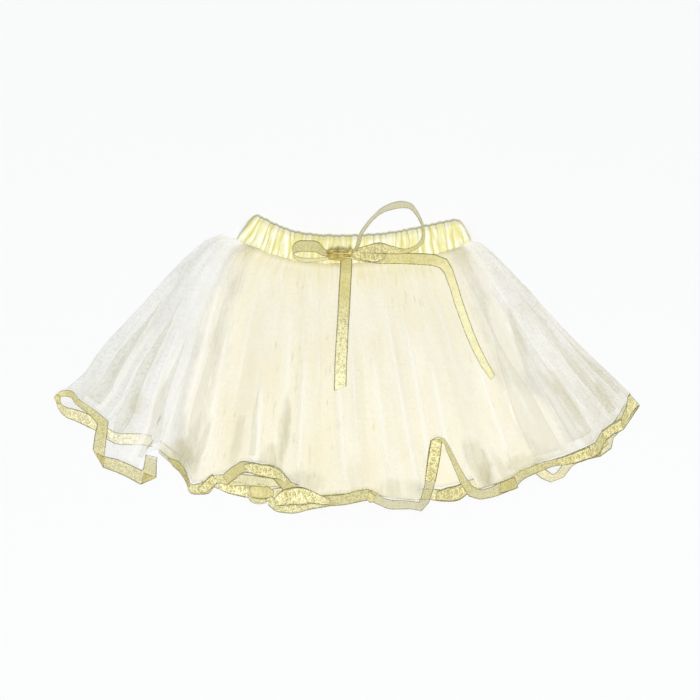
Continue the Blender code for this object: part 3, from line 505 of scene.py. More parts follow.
# What each skirt piece is cut to, in metres, where it shows: along the waist, along its hem
# and down its length.
Cut = namedtuple("Cut", "waist hem length")
FRONT_CUT = Cut(0.242, 0.79, 0.235)
BACK_CUT = Cut(0.242, 0.60, 0.24)
FRONT_NET_CUT = Cut(0.22, 0.45, 0.235)
BACK_NET_CUT = Cut(0.22, 0.44, 0.225)
BAND_FRONT_CUT = (0.28, 0.03)
BAND_BACK_CUT = (0.24, 0.03)

# The main creases: the fold line each follows, where it starts and ends as shares of the
# skirt's length, its height, its width in lines and how many lines it drifts sideways.
Crease = namedtuple("Crease", "line start end height width drift")
FRONT_CREASES = rows_of(Crease, (
    (0.7, 0.3, 1, 0.9, 0.16, 0.3), (1.8, 0.42, 1, 1.2, 0.2, -0.25),
    (2.9, 0.2, 0.94, 0.8, 0.14, 0.4), (4.2, 0.35, 1, 1, 0.18, -0.3),
    (5.6, 0.1, 0.8, 0.9, 0.22, 0.2), (7.3, 0.22, 0.97, 1.1, 0.26, 0.45),
    (9.1, 0.06, 0.7, 0.8, 0.2, -0.35), (10.6, 0.48, 0.98, 1.3, 0.3, 0.3),
    (12.4, 0.12, 0.88, 0.9, 0.24, 0.5), (14.2, 0.3, 1, 1, 0.22, -0.3),
    (15.5, 0.05, 0.6, 0.7, 0.18, 0.25), (17.4, 0.38, 0.98, 1.2, 0.28, 0.4),
    (19.3, 0.08, 0.82, 0.8, 0.2, -0.45), (21, 0.26, 0.95, 1.1, 0.25, 0.3),
    (22.8, 0.1, 1, 1.4, 0.24, 0.55), (24.6, 0.18, 1, 1.6, 0.22, -0.2),
    (26.1, 0.34, 1, 1.3, 0.24, -0.5), (27.7, 0.06, 0.78, 0.8, 0.2, 0.35),
    (29.4, 0.4, 0.98, 1, 0.22, -0.25), (31, 0.15, 0.92, 1.1, 0.2, 0.3),
    (32.6, 0.28, 1, 1.2, 0.2, 0.2), (33.9, 0.5, 1, 1, 0.16, -0.3),
    (35.2, 0.25, 0.96, 1.2, 0.18, 0.25), (36.3, 0.44, 1, 0.8, 0.14, -0.2),
    (1.3, 0.35, 0.97, 1, 0.1, 0.25), (2.3, 0.52, 1, 1.1, 0.1, -0.25),
    (3.5, 0.28, 0.92, 0.9, 0.1, 0.55), (5.1, 0.55, 1, 1, 0.11, -0.4),
    (6.4, 0.8, 1, 1.2, 0.09, -0.45), (6.9, 0.84, 1, 1.1, 0.09, -0.85),
    (7.6, 0.82, 1, 1.3, 0.1, -1.4), (8.4, 0.62, 0.96, 0.8, 0.1, -0.3),
    (26.9, 0.78, 1, 1.1, 0.1, -0.5), (27.8, 0.74, 1, 1, 0.1, 0.35), (28.5, 0.82, 1, 1.1, 0.1, -0.9),
    (33.1, 0.52, 1, 1.4, 0.1, 0.4), (32.9, 0.48, 0.97, 1.2, 0.11, 1.4),
    (34.6, 0.3, 0.95, 1, 0.1, 0.35), (35.9, 0.62, 1, 1.1, 0.09, -0.4),
))
BACK_CREASES = rows_of(Crease, (
    (1.2, 0.35, 1, 0.5, 0.2, 0.25), (3.6, 0.2, 0.9, 0.4, 0.18, -0.3),
    (6.4, 0.45, 1, 0.5, 0.24, 0.3), (9.8, 0.12, 0.8, 0.4, 0.22, 0.35),
    (13.1, 0.3, 0.96, 0.5, 0.26, -0.4), (16.7, 0.18, 0.88, 0.4, 0.2, 0.3),
    (20.2, 0.4, 1, 0.5, 0.24, -0.25), (23.9, 0.15, 0.92, 0.5, 0.22, 0.45),
    (27.2, 0.34, 1, 0.4, 0.2, -0.3), (30.5, 0.22, 0.86, 0.5, 0.22, 0.3),
    (33.3, 0.42, 1, 0.4, 0.18, 0.2), (35.8, 0.3, 0.95, 0.5, 0.16, -0.25),
))

# Where the sheer front is folded over on itself, between two fold lines, from a start down.
Pleat = namedtuple("Pleat", "left right start end lift")
FRONT_PLEATS = rows_of(Pleat, (
    (0.9, 1.5, 0.34, 0.97, 0.7), (2.3, 3.1, 0.22, 0.95, 0.8), (4.1, 4.6, 0.4, 0.96, 0.7),
    (6.2, 6.9, 0.12, 0.97, 0.8), (10.3, 10.7, 0.58, 0.97, 0.9), (30.4, 31.9, 0.3, 0.97, 0.8),
    (32.5, 33.6, 0.16, 0.96, 0.9), (34.9, 35.5, 0.38, 0.96, 0.8), (36.2, 36.6, 0.46, 0.95, 0.7),
))

# Where more tulle lies bunched under the sheer front, thicker and darkened with painted shade:
# its middle in the plan, its half width and half length, how far it leans and how strong it is.
Bunch = namedtuple("Bunch", "x y wide tall lean strength")
SHADED_BUNCHES = rows_of(Bunch, (
    (184, 456, 15, 22, 0.3, 0.9), (201, 448, 5, 36, -0.35, 0.7), (284, 432, 8, 44, -0.12, 0.8),
    (268, 462, 12, 22, -0.2, 0.8), (304, 482, 28, 14, 0, 0.7), (238, 440, 6, 36, -0.2, 0.5),
    (402, 489, 32, 13, 0.1, 0.5), (355, 474, 10, 20, 0.1, 0.35), (479, 464, 15, 32, 0.42, 1),
    (502, 470, 6, 26, 0.5, 0.6), (526, 464, 26, 12, -0.4, 0.8), (572, 406, 8, 48, 0.62, 0.5),
    (607, 404, 7, 28, 0.5, 0.45), (590, 438, 12, 14, 0.3, 0.5), (518, 336, 6, 40, 0.3, 0.6),
    (554, 388, 6, 26, 0.95, 0.5), (139, 404, 13, 14, 0, 0.45), (159, 406, 7, 34, -0.25, 0.5),
))
# Where a ruffle of the net reaches out under the sheer front and shows through it as cream.
RUFFLES = rows_of(Bunch, (
    (534, 418, 28, 44, 0.6, 0.95), (505, 340, 13, 60, 0.34, 0.8), (482, 275, 10, 32, 0.4, 0.6),
    (199, 386, 14, 62, -0.22, 0.9), (214, 312, 12, 44, -0.34, 0.8), (234, 268, 10, 26, -0.4, 0.6),
))

# How wide each ruche of the waistband is, from left to right, in millimetres.
RUCHE_WIDTHS = (8.4, 5.6, 10.2, 4.9, 7.8, 6.1, 11.0, 5.2, 8.8, 4.6, 9.4, 6.8, 5.0, 10.6, 5.8,
                7.4, 4.8, 9.8, 5.4, 8.2, 6.4, 4.7, 10.0, 5.9, 7.0, 9.0, 4.9, 8.6, 5.5, 7.6,
                6.2, 9.2, 5.1)
RUCHE_NARROWEST = 4.6
RUCHE_SPREAD = 6.4  # from the narrowest ruche to the widest
RUCHE_LEAN = 1.6  # how far a ruche leans sideways across the band
RUCHE_MIDDLE = 0.6  # how much of a ruche's height lies below the band's plain face
RUCHE_AT_EDGE = 0.35  # the share of its height that a ruche keeps at the band's edges
RUCHE_EDGE_REACH = 0.12  # and how far in from them it is held down, as a share of the width
BACK_RUCHE_DEPTH = 0.4
THINNEST_BAND_FRONT = 1.2
BAND_EDGE_REACH = 0.2  # the band thickens over this share of its width, in from each edge
SCALLOP_REACH = 0.25
BAND_SCALLOP = 0.035  # how far the ruches push out the top edge, as a share of the width
BAND_CORNER = 0.03  # the share of the band's length over which its top corners are rounded
BAND_CORNER_CUT = 0.22
# The dark line along the turned top edge is mostly painted shadow of the gap there.
BAND_EDGE_SHADOW = 0.05  # the turned top edge, as a share of the band's width
BOW_ON_BAND = 92.0  # the bow's middle, along the band

# How each run of ribbon looks: how deeply it is crumpled, how much of its width shows in
# millimetres and, at each share of its length, its painted shade (over 0 darker, under 0 paler
# with painted light), how clear its open weave is and how much it glitters.
RibbonLook = namedtuple("RibbonLook", "crumple width stops")
RIBBON_LOOKS = {node: RibbonLook(*look) for node, look in {
    "hem_front_left_end": (0.4, 6.5, (
        (0, 0.35, 0.1, 0.1), (0.4, 0.25, 0.2, 0.2), (0.7, 0.1, 0.3, 0.5), (1, 0.25, 0.3, 0.4))),
    "hem_front_box_fold": (0.2, 12, (
        (0, 0.15, 0.35, 0.3), (0.3, 0.1, 0.45, 0.6), (0.46, 0.5, 0.5, 0.5), (0.72, 0.45, 0.5, 0.6),
        (0.86, 0.05, 0.5, 0.3), (1, -0.15, 0.9, 0))),
    "hem_front_rise": (0.3, 9, (
        (0, 0, 1, 0), (0.13, 0, 0.9, 0.1), (0.22, 0.1, 0.3, 0.6), (0.7, 0, 0.3, 0.9),
        (1, 0.1, 0.3, 0.7))),
    "hem_front_arch": (0.4, 12, (
        (0, 0.3, 0.2, 0.2), (0.3, 0.25, 0.3, 0.1), (0.7, 0.15, 0.3, 0.3), (1, 0.25, 0.3, 0.2))),
    "hem_front_centre": (0.3, 11, (
        (0, 0.05, 0.2, 0.9), (0.26, 0, 0.2, 0.9), (0.36, 0.45, 0.2, 0.5), (0.6, 0.45, 0.2, 0.5),
        (0.69, 0.1, 0.4, 0.5), (0.76, 0.4, 0.75, 0.2), (1, 0.4, 0.75, 0.2))),
    "hem_front_tall_fold": (0.3, 10, (
        (0, 0.5, 0.7, 0.2), (0.31, 0.4, 0.7, 0.2), (0.36, 0.25, 0.3, 0.7), (0.58, 0.25, 0.2, 0.7),
        (0.63, 0.3, 0.4, 0.3), (1, 0.25, 0.4, 0.4))),
    "hem_front_right": (0.4, 10, (
        (0, 0.3, 0.5, 0.3), (0.4, 0.35, 0.4, 0.4), (0.6, 0.5, 0.2, 0.5), (1, 0.45, 0.2, 0.6))),
    "hem_front_right_end": (0.3, 12, (
        (0, 0.45, 0.3, 0.4), (0.4, 0.25, 0.3, 0.6), (0.7, 0.45, 0.2, 0.5), (1, 0.2, 0.2, 0.8))),
    "hem_back_left_end": (0.3, 11, (
        (0, 0.2, 0.3, 0.3), (0.2, 0, 0.5, 0.6), (0.55, -0.05, 0.5, 0.8), (0.66, -0.3, 0.85, 1),
        (1, -0.4, 0.9, 0.8))),
    "hem_back_left": (0.3, 12, ((0, 0, 0.9, 0.2), (0.5, 0.05, 0.7, 0.3))),
    "hem_back_centre": (0.3, 12, ((0, 0.05, 0.5, 0.4),)),
    "hem_back_right": (0.3, 10, (
        (0, 0, 0.7, 0.3), (0.55, -0.15, 0.6, 0.3), (0.76, -0.15, 0.6, 0.3), (0.84, 0.4, 0.6, 0.2))),
    "hem_back_right_end": (0.3, 12, ((0, 0.4, 0.6, 0.3), (0.4, 0.3, 0.7, 0.3))),
    "bow_loop_left": (0.4, 9, (
        (0, 0.1, 0.2, 0.3), (0.2, -0.05, 0.4, 0.2), (0.5, -0.3, 0.3, 0.2), (0.7, -0.6, 0.2, 0.2))),
    "bow_loop_right": (0.3, 11, (
        (0, 0.05, 0.3, 0.3), (0.15, -0.45, 0.5, 0.3), (0.33, -0.6, 0.6, 0.2), (0.5, -0.4, 0.5, 0.2),
        (0.66, -0.05, 0.3, 0.3), (0.74, 0.45, 0, 0.4), (1, 0.6, 0, 0.4))),
    "bow_tail_centre": (0.2, 12, (
        (0, 0.25, 0, 0.1), (0.3, 0.1, 0.1, 0.2), (0.45, -0.3, 0.2, 0.7), (0.75, -0.9, 0.2, 0.9))),
    "bow_tail_right": (0.2, 10, (
        (0, 0.25, 0, 0.6), (0.2, 0.05, 0, 0.3), (0.38, -0.3, 0, 0.2), (0.7, -0.9, 0.1, 0.1),
        (1, -0.6, 0.2, 0.1))),
}.items()}
RIBBON_WIDTH = 12.0
SHARP_RUNS = ("hem_front_box_fold", "hem_front_tall_fold", "hem_front_right_end", "hem_back_right",
              "hem_back_right_end", "bow_tail_right")
# The runs that go straight on into the next one.
JOINED_RUNS = ("hem_front_left_end", "hem_front_rise", "hem_front_centre", "hem_front_tall_fold",
               "hem_front_right", "hem_back_left", "hem_back_centre", "hem_back_right")

# Where the ribbon is folded over itself: the run it lies on, its look, its lift above the
# run and both edges of each of its rows.
Fold = namedtuple("Fold", "run shade clear glitter lift rows")
RIBBON_FOLDS = rows_of(Fold, (
    ("hem_front_left_end", 0.35, 0, 0.1, 0.5, (
        (54.3, 397.2, 54.7, 399), (57.6, 394.2, 58, 403.4), (60.6, 396.6, 61, 404.6))),
    ("hem_front_box_fold", 0.45, 0, 0.2, 0.5, (
        (94, 451.6, 94.6, 452), (103.4, 467.2, 105.6, 456.8))),
    ("hem_front_box_fold", 0.55, 0, 0.2, 0.5, (
        (156.6, 477.6, 156.2, 477), (141.6, 484.2, 144, 472.4))),
    ("hem_front_rise", 0.5, 0, 0.3, 0.5, (
        (168, 457.8, 168.6, 460.4), (176, 459.6, 173, 465.8), (182, 464.4, 180, 472.2),
        (187, 475, 184.4, 478.8), (190.6, 486, 188.4, 487))),
    ("hem_front_rise", -0.05, 0, 1, 0.5, (
        (198, 488, 201, 494.2), (206, 480, 211, 489.5), (212.4, 474.4, 218.2, 481.4))),
    ("hem_front_arch", -0.15, 0, 1, 0.5, (
        (244, 464, 245, 470.5), (252, 462.4, 253, 474), (262, 464, 262, 476.4),
        (273, 466, 272, 478.2), (281.5, 471.5, 279, 479), (288, 480.5, 284, 481.5))),
    ("hem_front_arch", -0.2, 0.6, 0.2, -1.2, (
        (228.6, 482, 229, 486.6), (238, 474, 239, 486), (250, 474.5, 250, 486),
        (262, 476.5, 262, 487), (275, 478.5, 275, 487), (289, 483, 288, 488))),
    ("hem_back_left", -0.15, 0, 1, 0.5, (
        (219, 481.6, 218.4, 489), (228, 480.2, 227, 493), (238, 481.6, 237, 495.6),
        (248.4, 483.6, 247.6, 498))),
    ("hem_back_centre", 0.3, 0, 0.1, 0.9, (
        (249.4, 486.6, 250.4, 497), (255, 483.8, 256, 498.6), (261, 483.4, 262, 499.4),
        (267, 485.4, 268, 498.4), (274, 491, 274, 496))),
    ("hem_back_centre", -0.1, 0.8, 0, 0.3, (
        (247.4, 493, 247.8, 497.4), (251.6, 496.2, 252.4, 502.8), (258.6, 498.6, 259, 504.2),
        (266.4, 498.6, 266.6, 503.4))),
    ("hem_front_centre", -0.2, 0, 1, 0.6, (
        (274.6, 497.6, 275.6, 506), (281.4, 490.4, 285, 505.4), (290, 487.4, 294, 504.6),
        (302.4, 486.6, 303.4, 505), (311, 489.8, 312, 503.4), (320, 494.2, 321, 504.4),
        (330, 499, 330.6, 504.6))),
    ("hem_front_centre", -0.25, 0, 0.5, 0.5, (
        (368.6, 490, 367.2, 500.4), (372, 492.6, 370.8, 502.8), (375.4, 495.6, 374, 500.2))),
    ("hem_front_tall_fold", 0.2, 0, 0.8, 0.5, (
        (430.6, 439.6, 442, 438.6), (428.8, 450, 440.6, 453), (426.4, 466, 437.8, 469.6),
        (424.6, 480, 435.2, 482.6))),
    ("hem_back_centre", 0.6, 0, 0.4, 0.5, (
        (437, 491.4, 435, 499.6), (446, 487.6, 446, 501.6), (457, 485, 459, 500.2),
        (467.4, 479.4, 468.4, 493.4))),
    ("hem_front_right", 0.45, 0, 0.3, 0.5, (
        (500.6, 482, 498.4, 493.4), (508, 478.8, 509, 491), (514.2, 476.6, 518.4, 487.8))),
    ("hem_front_right", 0.2, 0, 0.8, 0.5, (
        (556, 458.6, 557, 465.4), (566, 455.4, 567.6, 464.6), (577, 451.2, 579, 461.8),
        (589, 446.4, 592, 457.4))),
    ("hem_front_right_end", -0.05, 0, 0.9, 0.5, (
        (601, 431.6, 605, 440.2), (612, 424, 614.6, 433.4), (621, 419, 623, 430))),
    ("hem_front_right_end", -0.3, 0, 1, 0.5, (
        (625.8, 409, 627.6, 421), (627.6, 396, 633.6, 411.4), (629.4, 394, 639, 405))),
    ("hem_back_right_end", 0.45, 0, 0.6, 0.5, (
        (592.6, 446, 599.6, 456), (601, 439, 604, 447.6), (606, 436.6, 608.6, 444.4))),
    ("bow_tail_right", 0.3, 0, 0.7, 0.5, (
        (352, 251.6, 352.2, 257), (362, 249.6, 363, 260.6), (374, 250, 376, 262.4),
        (385, 253.4, 386, 258))),
))

TAIL_CUT = TailRow(334.0, 391.0, 346.6, 386.0)  # the centre tail's slanting end
WRAP_DEPTH = 0.10  # how deep the knot's wrinkles and lumps are, as shares of its radius
LUMP_DEPTH = 0.08
KNOT_END = 0.86  # how thick the knot still is beside its ends, as a share

CAMERA_HEIGHT = 6.0
VIEW_WIDTH = 0.7
VIEW_CENTRE = (350.0, 350.0)  # the plan point under the camera
SENSOR = 36.0
LIGHT_BOUNCES = 24
FLOOR_GAP = 0.0002
FLOOR_COLOURS = ((0.925, 0.93, 0.935), (0.93, 0.935, 0.94))


def to_mm(point):
    """A plan point in the model's own directions, still in millimetres."""
    return np.array((point[0] - PLAN_CENTRE[0], PLAN_CENTRE[1] - point[1], point[2]))


def wavy(x, y, z=0.0):
    """Smooth uneven variation from -1 to 1, the same at every run."""
    return noise.noise(Vector((x, y, z)))


def crease_rise(creases, line, share):
    """How far the cloth stands up on the creases near a place."""
    rise = 0.0
    for crease in creases:
        if not crease.start < share <= crease.end:
            continue
        along = (share - crease.start) / (crease.end - crease.start)
        offset = (line - crease.line - crease.drift * along) / crease.width
        if abs(offset) < CREASE_REACH:
            fade = 1.0 if crease.end >= 1 else soft_step((1 - along) / CREASE_FADE)
            rise += crease.height * exp(-offset * offset) * soft_step(along / CREASE_FADE) * fade
    return rise


def gather_rise(line, share, depth, seed):
    """The small uneven gathers just below the waist."""
    turn = 2 * pi * GATHERS_PER_LINE * (line + 0.35 * wavy(line * 0.9, seed))
    return depth * exp(-share / GATHER_REACH) * (0.5 + 0.5 * sin(turn))


def pleat_rise(line, share, depth, seed):
    """The soft pleats of a net ply, which wander, fade and give way to one another."""
    wander = 0.9 * wavy(line * 0.35, share * 2.6, seed)
    strength = 0.5 + 0.8 * wavy(line * 0.4, share * 2.4, seed + 5)
    broad = sin(2 * pi * PLEATS_PER_LINE * (line + wander))
    small = wavy(line * 2.6 + wander, share * 6.0, seed + 9)
    return depth * (strength * broad + 0.5 * small)


def island(columns, lower, upper, uv, **marks):
    """One closed shell: two grids of points in millimetres, their UV places and their marks."""
    def grid(values, size):
        return np.array(values, float).reshape(-1, columns, size)

    return {"lower": grid(lower, 3), "upper": grid(upper, 3), "uv": grid(uv, 2),
            "marks": {key: grid(values, 1) for key, values in marks.items()}}


def rim_of(rows, across):
    """The points round the edge of a grid, in order."""
    rim = list(range(across))
    rim += [r * across + across - 1 for r in range(1, rows)]
    rim += [(rows - 1) * across + c for c in range(across - 2, -1, -1)]
    return rim + [r * across for r in range(rows - 2, 0, -1)]


def linked(name, data):
    """A new object in the scene for a mesh, a lamp or a camera."""
    made = bpy.data.objects.new(name, data)
    bpy.context.scene.collection.objects.link(made)
    return made


def shell_object(name, islands, material):
    """A mesh of closed thin shells, smooth on its faces and crisp at its edges."""
    points, faces, smooth, places, marks = [], [], [], [], {}
    for part in islands:
        rows, across = part["lower"].shape[:2]
        first, count = len(points), rows * across
        for grid in (part["lower"], part["upper"]):
            points.extend((grid.reshape(-1, 3) * MM).tolist())
            places.extend(part["uv"].reshape(-1, 2).tolist())
            for key, values in part["marks"].items():
                marks.setdefault(key, []).extend(values.reshape(-1).tolist())
        for r in range(rows - 1):
            for c in range(across - 1):
                corner = first + r * across + c
                quad = (corner, corner + 1, corner + across + 1, corner + across)
                faces += [quad[::-1], tuple(index + count for index in quad)]
                smooth += [True, True]
        rim = [first + index for index in rim_of(rows, across)]
        for here, there in zip(rim, rim[1:] + rim[:1]):
            faces.append((here, there, there + count, here + count))
            smooth.append(False)
    mesh = bpy.data.meshes.new(name)
    mesh.from_pydata(points, [], faces)
    mesh.polygons.foreach_set("use_smooth", smooth)
    corners = np.zeros(len(mesh.loops), int)
    mesh.loops.foreach_get("vertex_index", corners)
    layer = mesh.uv_layers.new(name="cloth")
    layer.data.foreach_set("uv", np.array(places)[corners].reshape(-1))
    for key, values in marks.items():
        mesh.attributes.new(key, "FLOAT", "POINT").data.foreach_set("value", values)
    mesh.materials.append(material)
    mesh.update()
    return linked(name, mesh)


def settle(piece, slot, *nodes):
    """Fixes a finished piece to the model's one body."""
    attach(piece, "root")
    if nodes:
        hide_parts(*nodes)
    return piece


def cloth_piece(name, islands, material, slot, node, fine=False, **sheet):
    """A finished piece of cloth. Cloth as fine as tulle scatters light on and doesn't stop it."""
    piece = shell_object(name, islands, material)
    if fine:
        piece.visible_shadow = piece.visible_diffuse = False
    settle(piece, slot, node)
    return piece


def fan_sheet(cut, rests_on):
    """What a gathered fan of cloth is cut to, in metres, and what it lies on."""
    return {"flat": (cut.hem, cut.length), "held": "gathered",
            "area": (cut.waist + cut.hem) / 2 * cut.length, "rests_on": rests_on}


def seam_press(share):
    """How much of its height the skirt keeps near the waistband."""
    return SEAM_PRESS + (1 - SEAM_PRESS) * soft_step(share / SEAM_PRESS_REACH)


def patch_at(bunches, line, share):
    """How far this place of the sheer front lies inside any of the given soft patches, from 0 to 1.
    """
    if not bunches:
        return 0.0
    x, y = plan_point(line, share)
    ragged = 0.25 * wavy(x / 5.0, y / 9.0)
    most = 0.0
    for bunch in bunches:
        down = (y - bunch.y) / bunch.tall
        aside = (x - bunch.x - bunch.lean * (y - bunch.y)) / bunch.wide
        inside = soft_step(1.4 * (1 - down * down - aside * aside + ragged))
        most = max(most, bunch.strength * inside)
    return most


def skirt_island(lines, rows, reach_of, height_of, shell, creases=(), bunched=(), ruffled=()):
    """A fan of cloth: a column for each line, from the waist to the hem."""
    lower, uv, crest, shade, cream = ([] for _ in range(5))
    for line in lines:
        reach = reach_of(line)
        for step in np.linspace(-SEAM_TUCK, 1.0, rows):
            share = step * reach
            height = height_of(line, max(share, 0.0)) * seam_press(share)
            lower.append(to_mm((*plan_point(line, share), height)))
            uv.append((line / LAST_LINE, max(step, 0.0)))
            crest.append(min(crease_rise(creases, line, share), 1.0))
            shade.append(patch_at(bunched, line, share))
            cream.append(patch_at(ruffled, line, share))
    return island(rows, lower, np.array(lower) + (0, 0, shell), uv, crest=crest, bunched=shade,
                  ruffled=cream, folded=np.zeros(len(lower)))


def fan_lines(first, last, steps=STEPS_PER_LINE):
    return np.linspace(first, last, int((last - first) * steps) + 1)


def pleat_island(pleat, reach_of, height_of, shell):
    """A wedge of cloth folded over, from a point near the waist to its full width below."""
    lower, uv = [], []
    middle, half = (pleat.left + pleat.right) / 2, (pleat.right - pleat.left) / 2
    for side in np.linspace(-1.0, 1.0, PLEAT_COLUMNS):
        for step in np.linspace(pleat.start, pleat.end, SHEER_ROWS // 2):
            grown = soft_step(1.3 * (step - pleat.start) / (pleat.end - pleat.start) + 0.03)
            line = middle + side * half * grown + 0.15 * wavy(step * 4.0, middle)
            share = step * reach_of(line)
            height = height_of(line, share) + pleat.lift
            lower.append(to_mm((*plan_point(line, share), height)))
            uv.append((line / LAST_LINE, step))
    plain = np.zeros(len(lower))
    return island(SHEER_ROWS // 2, lower, np.array(lower) + (0, 0, shell), uv, crest=plain,
                  bunched=plain, ruffled=plain, folded=plain + 1)


def make_sheer_panels(sizes, colours):
    """The sheer front and back, with their creases, gathers and folded-over pleats."""
    inset = (SHEER_WALL - SHEER_SHELL) / 2

    def front_height(line, share):
        rise = crease_rise(FRONT_CREASES, line, share) * sizes.crease_depth
        gathers = gather_rise(line, share, FRONT_GATHER_DEPTH, 1.0)
        return front_face(line, share) + inset + rise + gathers

    def back_height(line, share):
        rise = min(crease_rise(BACK_CREASES, line, share), BACK_CREASE_MOST)
        gathers = gather_rise(line, share, BACK_GATHER_DEPTH, 2.0)
        return back_face(line, share) + BACK_LIFT + rise + gathers

    def front_reach(line):
        return hem_reach(line, FRONT_HEM)

    def back_reach(line):
        return hem_reach(line, BACK_HEM)

    front = [skirt_island(fan_lines(0, LAST_LINE, FRONT_STEPS), SHEER_ROWS, front_reach,
                          front_height, SHEER_SHELL, FRONT_CREASES, SHADED_BUNCHES, RUFFLES)]
    front += [pleat_island(pleat, front_reach, front_height, SHEER_SHELL) for pleat in FRONT_PLEATS]
    back = [skirt_island(fan_lines(0, LAST_LINE), SHEER_ROWS, back_reach, back_height, SHEER_SHELL)]
    material = tulle_material(colours)
    cloth_piece("sheer_front", front, material, "sheer_tulle", "tulle_front", fine=True,
                **fan_sheet(FRONT_CUT, ["net_ply_front_outer", "sheer_back"]))
    cloth_piece("sheer_back", back, material, "sheer_tulle", "tulle_back", fine=True,
                **fan_sheet(BACK_CUT, ["floor"]))


def front_net_reach(line):
    """The front plies hang on down behind the sheer, as far as its ribbon."""
    if NET_SHOWS_FROM < line < NET_SHOWS_TO:
        return net_reach(line)
    return max(net_reach(line), hem_reach(line, FRONT_HEM) - NET_SHORT_OF_HEM)


def make_net_plies(sizes, colours):
    """The four gathered net plies, each with its own pleats."""
    inset = (NET_WALL - NET_SHELL) / 2
    below = "sheer_back"
    for layer, node in enumerate(NET_LAYERS):
        name = node.replace("net", "net_ply")
        reach, cut = net_reach, BACK_NET_CUT
        if "front" in name:
            reach, cut = front_net_reach, FRONT_NET_CUT

        def height(line, share, k=layer):
            rise = pleat_rise(line, share, sizes.pleat_depth, 3.0 + k)
            return net_face(k, line, share) + inset + rise

        lines = fan_lines(NET_LEFT_LINE, NET_RIGHT_LINE)
        ply = skirt_island(lines, NET_ROWS, reach, height, NET_SHELL)
        ply["uv"][..., 0] = (ply["uv"][..., 0] - NET_LEFT) / (NET_RIGHT - NET_LEFT)
        cloth_piece(name, [ply], net_material(colours, layer), "cream_net", node,
                    **fan_sheet(cut, [below]))
        below = name


def ruche_at(place, across):
    """The profile of the ruche at a place along the band: 0 in a trough, 1 on a crest."""
    total = sum(RUCHE_WIDTHS)
    spot = place * total + RUCHE_LEAN * (across - 0.5) * (1 + 2.0 * wavy(place * 9.0, 7.0))
    spot += 1.8 * wavy(place * 15.0, across * 2.0, 2.0)
    small = 0.22 * abs(wavy(place * 70.0, across * 1.6, 5.0))
    start = 0.0
    for width in RUCHE_WIDTHS:
        if spot < start + width or start + width >= total - 0.01:
            inside = min(max((spot - start) / width, 0.0), 1.0)
            full = 0.6 + 0.4 * (width - RUCHE_NARROWEST) / RUCHE_SPREAD
            full += 0.3 * wavy(place * 22.0, across * 2.4, 9.0)
            return min(sin(pi * inside) * full + small, 1.0)
        start += width
    return 0.0


def edge_fade(across, reach):
    """0 at both edges of the band and 1 further in than the reach."""
    return soft_step(across / reach) * soft_step((1 - across) / reach)


def make_waistband(sizes, colours):
    """The ruched satin waistband, back and front."""
    low, middle, top, uv, crest = ([] for _ in range(5))
    for share in np.linspace(0.0, 1.0, BAND_ROWS):
        near = max(1 - min(share, 1 - share) / BAND_CORNER, 0.0)
        cut = BAND_CORNER_CUT * (1 - (1 - near * near) ** 0.5)
        for across in np.linspace(0.0, 1.0, BAND_ACROSS):
            wall = BAND_EDGE + (BAND_MIDDLE - BAND_EDGE) * edge_fade(across, BAND_EDGE_REACH)
            ruche = ruche_at(share, across)
            scallop = BAND_SCALLOP * (0.4 - ruche) * (1 - soft_step(across / SCALLOP_REACH))
            point = band_section(share, across + scallop + cut * (1 - across))
            free = RUCHE_AT_EDGE + (1 - RUCHE_AT_EDGE) * edge_fade(across, RUCHE_EDGE_REACH)
            ruched = sizes.ruche_depth * (ruche * free - RUCHE_MIDDLE)
            upper = 2 * wall + CLEARANCE + RUCHE_DEPTH + ruched
            low.append(to_mm((*point, 0.0)))
            middle.append(to_mm((*point, wall + BACK_RUCHE_DEPTH * ruche)))
            top.append(to_mm((*point, max(upper, wall + THINNEST_BAND_FRONT + RUCHE_DEPTH))))
            uv.append((share * sum(RUCHE_WIDTHS), across))
            crest.append(ruche)
    material = satin_material(colours)
    front_low = np.array(middle) + (0, 0, CLEARANCE)
    for side, lower, upper, flat, rests_on in (
            ("back", low, middle, BAND_BACK_CUT, "floor"),
            ("front", front_low, top, BAND_FRONT_CUT, "waistband_satin_back")):
        wall = island(BAND_ACROSS, lower, upper, uv, crest=crest)
        cloth_piece("waistband_satin_" + side, [wall], material, "satin", "waistband_" + side,
                    flat=flat, held="gathered", rests_on=[rests_on])


def follow(points, keys, places):
    """A smooth line through points at their keys, read at the places asked for."""
    slopes = np.zeros_like(points)
    steps = np.diff(keys)
    chords = np.diff(points, axis=0) / steps[:, None]
    slopes[0], slopes[-1] = chords[0], chords[-1]
    weight = steps[1:] / (steps[1:] + steps[:-1])
    slopes[1:-1] = chords[:-1] * weight[:, None] + chords[1:] * (1 - weight)[:, None]
    k = np.clip(np.searchsorted(keys, places) - 1, 0, len(keys) - 2)
    t = ((places - keys[k]) / steps[k])[:, None]
    return eased(t, steps[k][:, None], points[k], points[k + 1], slopes[k], slopes[k + 1])


def ribbon_grid(pairs, sharp=False):
    """Cross rows of points along a ribbon, and how far along it each row is."""
    first, second = (np.array([to_mm(pair[k]) for pair in pairs]) for k in range(2))
    apart = np.maximum(*(np.linalg.norm(np.diff(ends, axis=0), axis=1) for ends in (first, second)))
    keys = np.concatenate(([0.0], np.cumsum(apart)))
    places = np.linspace(0.0, keys[-1], max(int(keys[-1] / RIBBON_STEP), 3) + 1)
    if sharp:
        places = np.union1d(places, keys)
        a, b = (np.stack([np.interp(places, keys, ends[:, k]) for k in range(3)], axis=1)
                for ends in (first, second))
    else:
        a, b = follow(first, keys, places), follow(second, keys, places)
    across = np.linspace(0.0, 1.0, RIBBON_ACROSS + 1)[None, :, None]
    return a[:, None] * (1 - across) + b[:, None] * across, places


def unit(vectors):
    lengths = np.linalg.norm(vectors, axis=2, keepdims=True)
    return vectors / np.maximum(lengths, SHORTEST_NORMAL)


